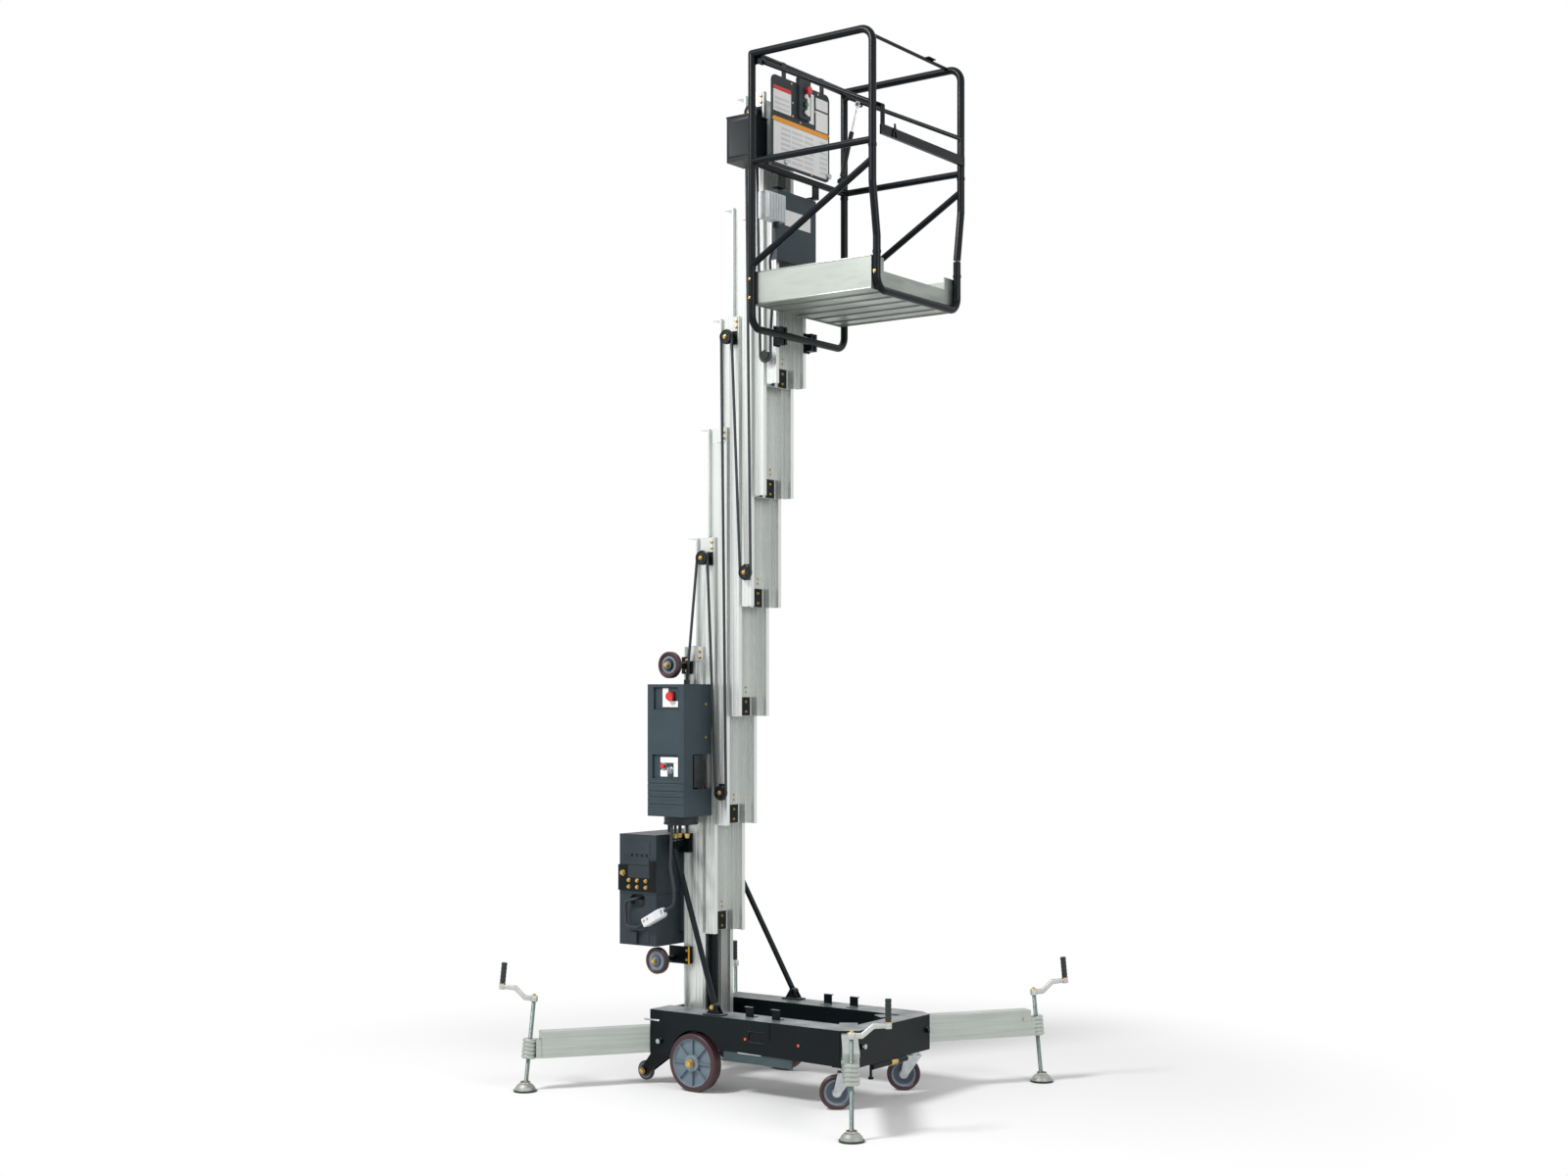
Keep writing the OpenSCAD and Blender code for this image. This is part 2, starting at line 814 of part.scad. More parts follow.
module brace_clevis(s) {
    translate([brace_foot.x, s * brace_foot.y, 0]) {
        translate([-50, -28, base_top + seat]) cube([100, 56, 6]);
        for (side = [-1, 1])
            translate([0, side * 13 + 3, 0])
                rotate([90, 0, 0])
                    linear_extrude(6)
                        union() {
                            polygon([
                                [-38, base_top + 5], [38, base_top + 5],
                                [14, brace_foot.z + 4], [-14, brace_foot.z + 4]
                            ]);
                            translate([0, brace_foot.z]) circle(r = 15);
                        }
        translate([0, 20, brace_foot.z]) rotate([90, 0, 0]) cylinder(r = 6, h = 40);
        translate([0, -16, brace_foot.z]) rotate([90, 0, 0]) bolt_head(20, 7);
        translate([0, 23, brace_foot.z]) rotate([90, 0, 0]) bolt_head(20, 7);
    }
}

module brace_bracket(s) {
    scale([1, s, 1]) {
        translate([brace_head.x - 15, half_width + seat, brace_head.z - 15])
            cube([30, brace_head.y - half_width - 12, 30]);
        mast_clamp(brace_head.x - 15, brace_head.z - 45, brace_head.z + 45);
        translate([brace_head.x, brace_head.y - 14, brace_head.z])
            rotate([-90, 0, 0]) cylinder(r = 6, h = 28);
        translate([brace_head.x, brace_head.y + 10, brace_head.z])
            rotate([-90, 0, 0]) bolt_head(20, 7);
    }
}

// Plate beside the mast, from x forward, with a block bolted to the leg behind it
module mast_clamp(x, low, high) {
    block_x = mast_rear + flange_t + seat;
    translate([x, half_width + seat, low]) cube([block_x + 30 - x, 6, high - low]);
    translate([block_x, leg_outer + seat, low])
        cube([30, half_width + 6 - leg_outer, high - low]);
}

// Bracket plate and stub axle of a transport wheel on the mast's side
module wheel_bracket(s, x, z, low, high) {
    inner_face = transport_y - transport_w / 2;
    outer_face = transport_y + transport_w / 2;
    scale([1, s, 1]) {
        mast_clamp(x - 20, low, high);
        translate([x, half_width + 4, z])
            rotate([-90, 0, 0]) cylinder(d = 30, h = inner_face - half_width - 5);
        translate([x, half_width + 4, z])
            rotate([-90, 0, 0]) cylinder(d = 16, h = outer_face - half_width);
        translate([x, outer_face + 1, z]) rotate([-90, 0, 0]) bolt_head(26, 6);
    }
}

module mast_braces() {
    color([0.08, 0.1, 0.11])
    for (s = [-1, 1]) {
        strut(s);
        brace_clevis(s);
        brace_bracket(s);
        wheel_bracket(s, upper_wheel_x, upper_wheel_z, upper_wheel_z - 41, upper_wheel_z + 39);
        wheel_bracket(s, lower_wheel_x, lower_wheel_z, lower_wheel_z - 22, lower_wheel_z + 60);
    }
}

// Hydraulic cylinder between the first two webs
barrel_cap = 40;
module lift_cylinder() {
    color([0.06, 0.07, 0.08])
    translate([cylinder_x, cylinder_y, 0]) {
        difference() {
            translate([0, 0, barrel_z]) cylinder(d = barrel_d, h = barrel_length);
            translate([0, 0, barrel_z + 12])
                cylinder(d = barrel_bore, h = barrel_length - 12 - barrel_cap);
            translate([0, 0, barrel_z + barrel_length - barrel_cap - through])
                cylinder(d = rod_d + 0.2, h = barrel_cap + 2 * through);
        }
        translate([0, 0, mast_foot]) cylinder(d = barrel_d + 4, h = barrel_z - mast_foot);
    }
}

module lift_rod() {
    color("silver")
    translate([cylinder_x, cylinder_y, 0]) {
        translate([0, 0, rod_low]) cylinder(d = rod_d, h = rod_top - rod_low);
        translate([0, 0, rod_low]) cylinder(d = barrel_bore - 0.2, h = 32);
        translate([-16, -20, rod_top - 1])
            cube([section_x(2) + web_x - seat - cylinder_x + 16, 40, 26]);
    }
}

// Brake bar across the front, with the clamp that swings on the pin behind it
module brake_pedal() {
    pin_l = pedal_w + 2 * (seat + cheek_t + 2);
    color("dimgray")
    pedal_frame() {
        translate([pedal_reach, -170, 0]) rotate([-90, 0, 0]) cylinder(d = pedal_d, h = 280);
        translate([0, -pin_l / 2, 0]) rotate([-90, 0, 0]) cylinder(d = pedal_pin_d, h = pin_l);
        for (part = [[0, pedal_pin_d + 10], [pedal_reach, pedal_d + 6]])
            translate([part[0], -pedal_w / 2, 0])
                rotate([-90, 0, 0]) cylinder(d = part[1], h = pedal_w);
        translate([0, -pedal_w / 2, -pedal_pin_d / 2 - 5])
            cube([pedal_reach, pedal_w, pedal_pin_d + 10]);
    }
}

// Power unit cover: shell open below and towards the mast
module power_unit_cover() {
    w = cover_inner_y - cover_outer_y;
    color([0.12, 0.15, 0.17])
    translate([cover_rear, cover_outer_y, cover_z])
        difference() {
            union() {
                cube([cover_l, w, cover_h]);
                for (z = [60, cover_h - 100])
                    translate([mast_rear + step_x + 5 - cover_rear, w - 10, z])
                        cube([45, -half_width - seat - cover_inner_y + 10, 40]);
            }
            translate([cover_wall, cover_face, -through])
                cube([cover_l - 2 * cover_wall, w - cover_face - 12, cover_h - cover_wall + through]);
            translate([12, cover_face, -through])
                cube([cover_l - 24, w, 50]);
            translate([cover_wall, w - 14, 110])
                cube([cover_l - 2 * cover_wall, 30, cover_h - 230]);
            translate([36, -through, 494]) cube([145, 13, 104]);
            translate([28, -through, 175]) cube([153, 13, 112]);
            for (z = [152, 116, 89, 55])
                translate([-through, -through, z]) cube([cover_l + 2 * through, 4, 3]);
            translate([cover_l - 8, w - 142, 125]) cube([16, 141, 162]);
            translate([ground_stop.x - cover_rear, -through, ground_stop.z - cover_z])
                rotate([-90, 0, 0]) cylinder(d = stem_d + 0.2, h = cover_face + 2);
            translate([ground_lift.x - cover_rear, -through, ground_lift.z - cover_z])
                rotate([-90, 0, 0]) cylinder(d = stem_d + 0.2, h = cover_face + 2);
            translate([ground_key.x - cover_rear, -through, ground_key.z - cover_z])
                rotate([-90, 0, 0]) cylinder(d = stem_d + 0.2, h = cover_face + 2);
        }
    color("black")
    translate([gland_x, roller_y, cover_z + cover_h])
        difference() {
            cylinder(d = gland_d, h = gland_h);
            translate([0, 0, 6]) cylinder(d = cable_d + 5, h = gland_h);
        }
}

// Ground controls, on the near face of the cover
stem_d = 12;
recess = 12;
gland_x = -469;
gland_d = 28;
gland_h = 22;
ground_stop = [-421, 0, 1800];
ground_lift = [-471, 0, 1478];
ground_key = [-429, 0, 1460];

module ground_button(at, d, stand, head) {
    translate([at.x, cover_outer_y + recess, at.z])
        rotate([90, 0, 0]) {
            translate([0, 0, stand]) cylinder(d = d, h = head);
            translate([0, 0, -14]) cylinder(d = stem_d, h = stand + 15);
        }
}

module ground_stop_button() { color("red") ground_button(ground_stop, 40, 8, 16); }
module ground_lift_button() { color("red") ground_button(ground_lift, 22, 5, 8); }
module ground_key_switch() {
    color("silver") {
        ground_button(ground_key, 24, seat, 6);
        translate([ground_key.x - 1.5, cover_outer_y + recess - 26, ground_key.z - 14])
            cube([3, 21, 28]);
    }
}

// Pump, tank and motor, hung on the mast
tank_d = 156;
module hydraulic_power_unit() {
    color("dimgray")
    translate([unit_x, unit_y, 0]) {
        translate([0, 0, cover_z - 30]) cylinder(d = tank_d, h = 355);
        translate([0, 0, cover_z + 324]) cylinder(d = tank_d - 20, h = 32);
        translate([0, 0, cover_z + 355]) cylinder(d = 110, h = 180);
        translate([0, 0, cover_z - 45]) cylinder(d = 90, h = 16);
        for (a = [20, 140, 250])
            rotate(a) translate([30, 0, cover_z - 105]) {
                cylinder(d = 14, h = 62);
                translate([0, 0, 10]) bolt_head(24, 14);
            }
        translate([-22, 30, cover_z + 130])
            cube([44, -half_width - seat - unit_y - 30, 60]);
    }
}

// Battery box on two rails behind the mast, with its band, handle and latch
hole_x = -659;
hole_z = 841;
hole_depth = 25;
module battery_box() {
    band_z = battery_z + 255;
    color([0.11, 0.14, 0.15]) {
        difference() {
            translate([battery_front - battery_l, -battery_w / 2, battery_z])
                cube([battery_l, battery_w, battery_h]);
            translate([hole_x, -battery_w / 2 - through, hole_z])
                rotate([-90, 0, 0]) slot(94, 64, hole_depth + through);
            for (x = [0 : 3])
                translate([battery_front - 60 - x * 30, -battery_w / 2 - through, battery_z + 395])
                    cube([8, hole_depth, 60]);
        }
        translate([battery_front - battery_l - 4, -battery_w / 2 - 4, band_z])
            difference() {
                cube([battery_l + 4, battery_w + 8, 119]);
                translate([4, 4, -through]) cube([battery_l + 1, battery_w, 121]);
            }
        for (s = [-1, 1])
            translate([battery_front - 1, s * (leg_inner + 12) - 12, battery_z + 60])
                cube([mast_rear - seat - battery_front + 1, 24, battery_h - 140]);
        translate([battery_front - 110, -50, battery_z + battery_h - 1]) {
            for (y = [0, 88]) translate([0, y, 0]) cylinder(d = 12, h = 42);
            translate([0, -14, 42]) rotate([-90, 0, 0]) cylinder(d = 16, h = 116);
        }
    }
    color("silver") {
        translate([battery_front - 196, -battery_w / 2 - 4, band_z + 82])
            rotate([90, 0, 0]) bolt_head(14, 5);
        for (x = [160, 109, 57], z = [18, 49])
            translate([battery_front - x, -battery_w / 2 - 4, band_z + z])
                rotate([90, 0, 0]) bolt_head(12, 5);
        translate([battery_front - 140, -battery_w / 2 - 16, battery_z + 9]) cube([34, 16.5, 54]);
    }
}

// Battery lead: tilted plug body against the box and its two short leads
lead_d = 15;
plug = [-536, -battery_w / 2 - 26, 774];
plug_l = 136;
plug_h = 44;
plug_tilt = 28;

// Place on the plug's axis, t beyond its upper end, or beyond its lower one for a negative side
function plug_end(side, t) =
    plug + side * (plug_l / 2 + t) * [cos(plug_tilt), 0, sin(plug_tilt)];

module battery_lead() {
    color("black") {
        translate(plug)
            rotate([0, -plug_tilt, 0])
                translate([-plug_l / 2, -19, -plug_h / 2]) cube([plug_l, 45 - seat, plug_h]);
        lead(rounded([[unit_x - 5, unit_y - 60, cover_z - 32],
            [unit_x + 6, plug.y + 4, 1010], [-418, plug.y, 905],
            plug_end(1, 66), plug_end(1, seat)], 46), lead_d / 2);
        lead(rounded([[hole_x + 10, hole_depth - battery_w / 2 - seat, hole_z + 12],
            [hole_x + 10, plug.y - 6, hole_z + 12], [-712, plug.y - 4, hole_z - 4],
            [-706, plug.y - 2, 720], plug_end(-1, 52), plug_end(-1, seat)], 24), lead_d / 2);
    }
}

// Control cable: over each top roller and under each low one, up to the platform
function left(t) = [-t.y, t.x];
function slope(v) = atan2(v.y, v.x);
function dir(a) = [cos(a), sin(a)];
hang_r = hanger_d / 2 + cable_slack + cable_d / 2;
stops = [
    for (k = [2 : 6]) k % 2 == 0
        ? [section_x(k) + top_roller_x, section_z(k) + section_length - top_roller_drop]
        : [section_x(k) + low_roller_x, section_z(k) + low_roller_rise],
    [section_x(7) + hanger_x, section_z(7) + hanger_z]
];
function wrap_r(i) = i == 5 ? hang_r : cable_r;
run_dir = [
    for (i = [0 : 5])
        let (a = i == 0 ? [gland_x, cover_z + cover_h + 6] : stops[i - 1],
            d = stops[i] - a,
            both = (i == 0 ? 0 : wrap_r(i - 1)) + wrap_r(i))
        slope(d) + (i % 2 == 0 ? 1 : -1) * asin(both / norm(d))
];
function touch(i, k) = stops[i] + (i % 2 == 0 ? 1 : -1) * wrap_r(i) * left(dir(run_dir[k]));

function wrap(i, from, to, n = 8) = [
    for (k = [0 : n])
        let (t = from + (to - from) * k / n,
            p = stops[i] + (i % 2 == 0 ? 1 : -1) * wrap_r(i) * left(dir(t)))
            [p.x, roller_y, p.y]
];
cable_up = stops[5].x + hang_r;

module control_cable() {
    color("black")
    lead(concat(
        [[gland_x, roller_y, cover_z + cover_h + 6 + seat]],
        [for (i = [0 : 5]) each wrap(i, run_dir[i], i == 5 ? 90 : run_dir[i + 1])],
        rounded([[cable_up, roller_y, 3400], [cable_up, roller_y, 3440], [44, -175, 3560],
            [44, -190, 3780], [85, -200, 3860], [85, -200, outlet_z - 24 - seat]], 60)
    ), cable_d / 2);
}

// Platform tray: ribbed floor inside toe boards, and its brackets to the carriage
module platform_tray() {
    len_x = tray_front - tray_rear;
    floor_h = 10;
    color("gainsboro") {
        difference() {
            translate([tray_rear, -tray_y, tray_z]) cube([len_x, 2 * tray_y, toe_board]);
            translate([tray_rear + tray_wall, -tray_y + tray_wall, tray_z + floor_h])
                cube([len_x - 2 * tray_wall, 2 * (tray_y - tray_wall), toe_board]);
            translate([tray_rear + tray_wall, -tray_y + tray_wall, tray_z - through])
                cube([len_x - 2 * tray_wall, 2 * (tray_y - tray_wall), floor_h - tray_wall + through]);
            translate([tray_front - 20, -250, tray_z + 90]) cube([40, 500, toe_board]);
        }
        for (y = [-240 : 120 : 240])
            translate([tray_rear + 1, y - 2, tray_z]) cube([len_x - 2, 4, floor_h]);
        for (s = [-1, 1])
            translate([carriage_front + seat, s * 85 - 22, tray_z + 12])
                cube([tray_rear - carriage_front + 1, 44, 120]);
        for (s = [-1, 1], x = [0.2, 0.5, 0.8])
            translate([tray_rear + len_x * x, s * tray_y, tray_z + toe_board - 20])
                rotate([-s * 90, 0, 0]) translate([0, 0, -tray_wall - 6]) cylinder(d = 12, h = 8);
    }
}

// Guardrail: a rear U, a front loop under the tray, rails, braces and brackets
module guardrail() {
    u_z = tray_z - u_drop;
    t = tube_r;
    color([0.08, 0.09, 0.1]) {
        bent_tube([[cage_rear, -cage_y, rail_z], [cage_rear, -cage_y, u_z],
            [cage_rear, cage_y, u_z], [cage_rear, cage_y, rail_z]], t, cage_bend);
        bent_tube([[cage_rear, -cage_y, rail_z], [cage_front, -cage_y, rail_z],
            [cage_front, -cage_y, mid_z - 179], [cage_front, -cage_y + loop_in, tray_z + 229],
            [cage_front, -cage_y + loop_in, tray_z], [cage_front, cage_y - loop_in, tray_z],
            [cage_front, cage_y - loop_in, tray_z + 229], [cage_front, cage_y, mid_z - 179],
            [cage_front, cage_y, rail_z], [cage_rear, cage_y, rail_z]], t, cage_bend);
        bar([cage_rear, -cage_y, rail_z], [cage_rear, cage_y, rail_z], t);
        bar([cage_rear, -cage_y, mid_z], [cage_rear, cage_y, mid_z], t - 2);
        for (s = [-1, 1]) {
            translate([cage_rear, s * cage_y, rail_z]) sphere(r = t);
            bar([cage_rear, s * cage_y, mid_z], [cage_front, s * cage_y, mid_z], t - 2);
            bar([cage_front, s * cage_y, mid_z - 83], [cage_rear, s * cage_y, tray_z + 171], t - 2);
            translate([gate_x, s * (gate_y + 11), 0]) gate_lug(s);
            for (side = [0, 1])
                translate([carriage_front + seat, s * 118 - 22 + side * 28, u_z - 40])
                    cube([cage_rear - carriage_front, 16, 80]);
            translate([carriage_front + seat, s * 118 - 22, u_z - 46]) cube([6, 44, 92]);
            translate([carriage_front + seat, s * 132 - 24, mid_z - 70])
                cube([cage_rear - carriage_front, 48, 6]);
            translate([cage_rear - 6, s * 132 - 24, mid_z - 70]) cube([6, 48, 62]);
            translate([carriage_front + seat, s * 108 - 24, mid_z - 140]) cube([6, 48, 74]);
        }
        spring_lug();
        bar([cage_front - 75, -cage_y, rail_z + 9], [cage_front - 75, cage_y, rail_z + 9], 8);
        translate([cage_front - 95, 180, rail_z + 16]) cube([40, 60, 4]);
    }
}

// Lug on the rear post with the pin of the gas spring
module spring_lug() {
    translate([cage_rear - 6, spring_y + 8 + seat, spring_low.z - 9])
        cube([16, cage_y - tube_r - spring_y - 6, 18]);
    translate([cage_rear - 6, spring_y + 8 + seat, spring_low.z - 9]) cube([38, 6, 18]);
    translate([spring_low.x, spring_y + 12, spring_low.z])
        rotate([90, 0, 0]) cylinder(d = eye_pin, h = 24);
}

// Lug under the top rail with the gate's hinge pin
module gate_lug(s) {
    translate([-18, s > 0 ? 8 : -14, gate_z - 16]) cube([36, 6, rail_z - gate_z + 10]);
    translate([-18, s > 0 ? 8 : -30, rail_z - 12]) cube([36, 22, 6]);
    translate([0, 14 * s, gate_z]) rotate([s * 90, 0, 0]) cylinder(d = 10, h = 34);
    translate([0, -(20 + seat) * s, gate_z]) rotate([s * 90, 0, 0]) bolt_head(17, 4);
}

arm_r = 10;
function gate_corner(s) = [gate_front - 3, s * gate_y, gate_z - gate_drop];

// Entry gate: two arms to a drop bar, with its latch
module entry_gate() {
    color([0.08, 0.09, 0.1]) {
        for (s = [-1, 1]) {
            difference() {
                union() {
                    bar([gate_x + 10, s * gate_y, gate_z - 5], gate_corner(s), arm_r);
                    translate(gate_corner(s)) sphere(r = arm_r + seat);
                    bar(gate_corner(s), gate_corner(s) - [0, 0, 98], arm_r);
                    translate([gate_x, s * gate_y + 9, gate_z])
                        rotate([90, 0, 0]) cylinder(d = 30, h = 18);
                }
                translate([gate_x, s * gate_y + 30, gate_z])
                    rotate([90, 0, 0]) cylinder(d = 10.2, h = 60);
            }
        }
        translate([gate_front - 10.5, -gate_y - 11, gate_z - gate_drop - 121])
            cube([15, 2 * gate_y + 22, 42]);
        for (s = [-1, 1])
            translate([gate_front + 4, -250 + s * 16, gate_z - gate_drop - 118])
                rotate([s * 18, 0, 0]) cube([5, 8, 60]);
        translate([gate_front - 14, gate_y - 40, gate_z - gate_drop - 76])
            rotate([-90, 0, 0]) cylinder(d = 12, h = 52);
        translate([spring_top.x, gate_y + 5, spring_top.z])
            rotate([90, 0, 0]) cylinder(d = eye_pin, h = gate_y + 5 - spring_top.y + 9);
        translate([spring_top.x - 9, gate_y - 5, spring_top.z - 9]) cube([18, 10, 50]);
    }
}

// Gas spring from the rear post to the gate's far arm
eye_pin = 8;
eye_play = 2.5;
spring_len = norm(spring_top - spring_low);
module spring_frame() {
    d = spring_top - spring_low;
    translate(spring_low) rotate([0, atan2(d.x, d.z), 0]) children();
}

module gas_spring_body() {
    color("black")
    spring_frame()
        difference() {
            union() {
                cylinder(d = 12, h = 20);
                translate([0, 0, 16]) cylinder(d = 22, h = spring_len * 0.62 - 10);
                translate([0, 8, 0]) rotate([90, 0, 0]) cylinder(d = 20, h = 16);
            }
            translate([0, 20, 0]) rotate([90, 0, 0]) cylinder(d = eye_pin + 0.2, h = 40);
            translate([0, 0, 24]) cylinder(d = 18, h = spring_len * 0.62 - 28);
            translate([0, 0, 30]) cylinder(d = 10.2, h = spring_len);
        }
}

module gas_spring_rod() {
    color("silver")
    spring_frame()
        difference() {
            union() {
                translate([0, 0, spring_len * 0.435]) cylinder(d = 10, h = spring_len * 0.565 - 12);
                translate([0, 0, spring_len * 0.435]) cylinder(d = 17.8, h = 14);
                translate([0, 7, spring_len]) rotate([90, 0, 0]) cylinder(d = 26, h = 14);
            }
            translate([0, 20, spring_len])
                rotate([90, 0, 0]) cylinder(d = eye_pin + 2 * eye_play, h = 40);
        }
}

// Control panel plate on the rear rails
module platform_console() {
    h = console_high - console_low;
    w = console_left - console_right;
    color([0.2, 0.21, 0.22])
    difference() {
        union() {
            translate([console_x, console_right, console_low])
                rotate([90, 0, 90]) round_plate([w, h], 6, 30);
            translate([console_x, button_y - 45, 4440])
                rotate([90, 0, 90]) round_plate([90, 190], 20, 12);
            for (s = [-1, 1])
                translate([cage_rear + tube_r + seat, s * 150 - 15, console_high - 30])
                    cube([console_x - cage_rear - tube_r + 2, 30, rail_z - console_high + 40]);
        }
        translate([console_x - 10, 0, stop_z])
            rotate([0, 90, 0]) cylinder(d = stem_d + 0.2, h = 60);
        for (z = button_z)
            translate([console_x - 10, button_y, z])
                rotate([0, 90, 0]) cylinder(d = stem_d + 0.2, h = 60);
    }
}

button_z = [4544, 4508, 4472];
console_face = console_x + 20;
module platform_button(y, z, d, stand, head) {
    translate([console_face, y, z])
        rotate([0, 90, 0]) {
            translate([0, 0, -18]) cylinder(d = stem_d, h = stand + 19);
            translate([0, 0, stand]) cylinder(d = d, h = head);
        }
}
module platform_stop_button() { color("red") platform_button(0, stop_z, 36, 8, 14); }
module platform_up_button() { color("white") platform_button(button_y, button_z[0], 22, 5, 7); }
module platform_enable_button() { color("green") platform_button(button_y, button_z[1], 22, 5, 7); }
module platform_down_button() { color("white") platform_button(button_y, button_z[2], 22, 5, 7); }

// Boxes behind the rail: the open switch box and the ribbed outlet box
outlet_z = 3940;
module platform_electrics() {
    color([0.08, 0.09, 0.1]) {
        difference() {
            translate([-95, -330, 4205]) cube([135, 125, 205]);
            translate([-91, -326, 4209]) cube([127, 117, 205]);
        }
        translate([39, -310, mid_z + tube_r - 2 + seat]) cube([45, 60, 12]);
        translate([60, -300, outlet_z]) cube([50, 140, 121]);
        for (y = [-290 : 20 : -170]) translate([109, y - 3, outlet_z + 8]) cube([5, 6, 105]);
        translate([85, -200, outlet_z - 24]) cylinder(d = 28, h = 25);
        translate([30, -262, outlet_z + 40]) cube([31, 60, 30]);
        translate([carriage_front + seat, -262, outlet_z + 40]) cube([5, 152, 30]);
    }
}

// Bent plate in front of the mast, on two spacer bars that sit on the carriage's lips
module mast_cover() {
    low = 3784;
    color([0.16, 0.19, 0.2]) {
        difference() {
            translate([carriage_front + 1, -154, low]) cube([30, 308, 320]);
            translate([carriage_front - 1, -151, low - 1]) cube([29, 302, 322]);
            translate([carriage_front, -160, outlet_z + 38]) cube([7, 20, 34]);
        }
        for (s = [-1, 1])
            translate([carriage_front + seat, s * (lip_edge + 9) - 7, low + 6])
                cube([29, 14, 180]);
    }
}

// Rolling wheels
module rear_wheel(s) {
    color([0.35, 0.2, 0.18])
    translate([rear_axle_x, s * rear_wheel_y, rear_wheel_d / 2])
        wheel(rear_wheel_d, rear_wheel_w, 76, axle_d, 8);
}
module rear_wheel_right() { rear_wheel(-1); }
module rear_wheel_left() { rear_wheel(1); }

module tilt_wheel(s) {
    color([0.2, 0.2, 0.2])
    translate([tilt_x, s * tilt_y, tilt_z]) wheel(tilt_d, tilt_w, 34, 12, 0);
}
module tilt_wheel_right() { tilt_wheel(-1); }
module tilt_wheel_left() { tilt_wheel(1); }

module transport_wheel(s, x, z) {
    color([0.2, 0.2, 0.2])
    translate([x, s * transport_y, z]) wheel(transport_d, transport_w, 44, 16, 0);
}
module upper_transport_wheel_right() { transport_wheel(-1, upper_wheel_x, upper_wheel_z); }
module upper_transport_wheel_left() { transport_wheel(1, upper_wheel_x, upper_wheel_z); }
module lower_transport_wheel_right() { transport_wheel(-1, lower_wheel_x, lower_wheel_z); }
module lower_transport_wheel_left() { transport_wheel(1, lower_wheel_x, lower_wheel_z); }

// Casters: swivel fork with its axle bolt, and the wheel
module caster_fork(s) {
    color("silver")
    translate([caster_x, s * caster_y, 0])
        rotate(caster_heading) {
            difference() {
                union() {
                    translate([-42, -32, fork_plate_z]) cube([78, 64, 6]);
                    translate([0, 0, fork_plate_z + 5])
                        cylinder(d = 56, h = base_high - 7 - seat - fork_plate_z - 5);
                }
                translate([0, 0, fork_plate_z - 1]) cylinder(d = king_pin_d + 0.2, h = 60);
            }
            for (side = [-1, 1])
                translate([0, side * (caster_w / 2 + 5) + 2.5, 0])
                    rotate([90, 0, 0])
                        linear_extrude(5) {
                            polygon([[-42, fork_plate_z + 3], [36, fork_plate_z + 3],
                                [-caster_trail + 17, caster_d / 2 - 6],
                                [-caster_trail - 17, caster_d / 2 - 6]]);
                            translate([-caster_trail, caster_d / 2]) circle(r = 18);
                        }
            translate([-caster_trail, caster_w / 2 + 8, caster_d / 2])
                rotate([90, 0, 0]) cylinder(d = 12, h = caster_w + 16);
            for (side = [-1, 1])
                translate([-caster_trail, side * (caster_w / 2 + 7), caster_d / 2])
                    rotate([-side * 90, 0, 0]) bolt_head(20, 7);
        }
}
module caster_fork_right() { caster_fork(-1); }
module caster_fork_left() { caster_fork(1); }

module caster_wheel(s) {
    color([0.3, 0.3, 0.3])
    translate([caster_x, s * caster_y, 0])
        rotate(caster_heading)
            translate([-caster_trail, 0, caster_d / 2]) wheel(caster_d, caster_w, 46, 12, 0);
}
module caster_wheel_right() { caster_wheel(-1); }
module caster_wheel_left() { caster_wheel(1); }

// Outriggers: j counts right front, left front, right rear, left rear
module jack_place(j) {
    translate([jack_sign_x[j] * foot_x, jack_sign_y[j] * foot_y, 0])
        rotate(jack_heading[j]) children();
}

module screw_place(j) {
    jack_place(j) rotate([0, -screw_lean, 0]) children();
}

// Cast nut of a jack, with rings round it
nut_rings = 5;
ring_depth = 4;
module ringed_nut() {
    pitch = nut_h / nut_rings;
    core = nut_d / 2 - ring_depth;
    rotate_extrude()
        polygon([
            [0, 0],
            for (i = [0 : nut_rings - 1])
                each [[core, i * pitch], [core + ring_depth, i * pitch + 5],
                    [core + ring_depth, i * pitch + pitch - 5], [core, (i + 1) * pitch - 1]],
            [core, nut_h], [0, nut_h]
        ]);
}

beam_end = 72;
module outrigger_beam(j) {
    inner = beam_inner(j);
    low = beam_z[j] - beam_height / 2;
    w = beam_width;
    h = beam_height;
    color("gainsboro")
    difference() {
        union() {
            jack_place(j)
                translate([-inner, 0, beam_z[j]])
                    rotate([90, 0, 90])
                        linear_extrude(inner - beam_end)
                            difference() {
                                translate([-w / 2, -h / 2]) square([w, h]);
                                translate([-w / 2 + beam_wall + beam_recess, -h / 2 + beam_wall])
                                    square([w - 2 * (beam_wall + beam_recess), h - 2 * beam_wall]);
                                for (s = [-1, 1])
                                    translate([s * (w / 2) - beam_recess, -h / 2 + 15])
                                        square([2 * beam_recess, h - 30]);
                            }
            jack_place(j)
                translate([-beam_end - 1, -w / 2 + 8, low]) cube([28, w - 16, nut_h - 6]);
            jack_place(j)
                translate([-beam_end - 3, -w / 2 + 2, low + 2]) cube([4, w - 4, h - 4]);
            screw_place(j) translate([0, 0, low]) ringed_nut();
        }
        screw_place(j)
            translate([0, 0, low - 20]) cylinder(d = screw_d + 2 * nut_play, h = nut_h + 60);
    }
    color("gold")
    jack_place(j)
        translate([-beam_end - 34, -w / 2 + beam_recess, beam_z[j] + 20])
            rotate([90, 0, 0]) bolt_head(16, 8);
}
module outrigger_beam_front_right() { outrigger_beam(0); }
module outrigger_beam_front_left() { outrigger_beam(1); }
module outrigger_beam_rear_right() { outrigger_beam(2); }
module outrigger_beam_rear_left() { outrigger_beam(3); }

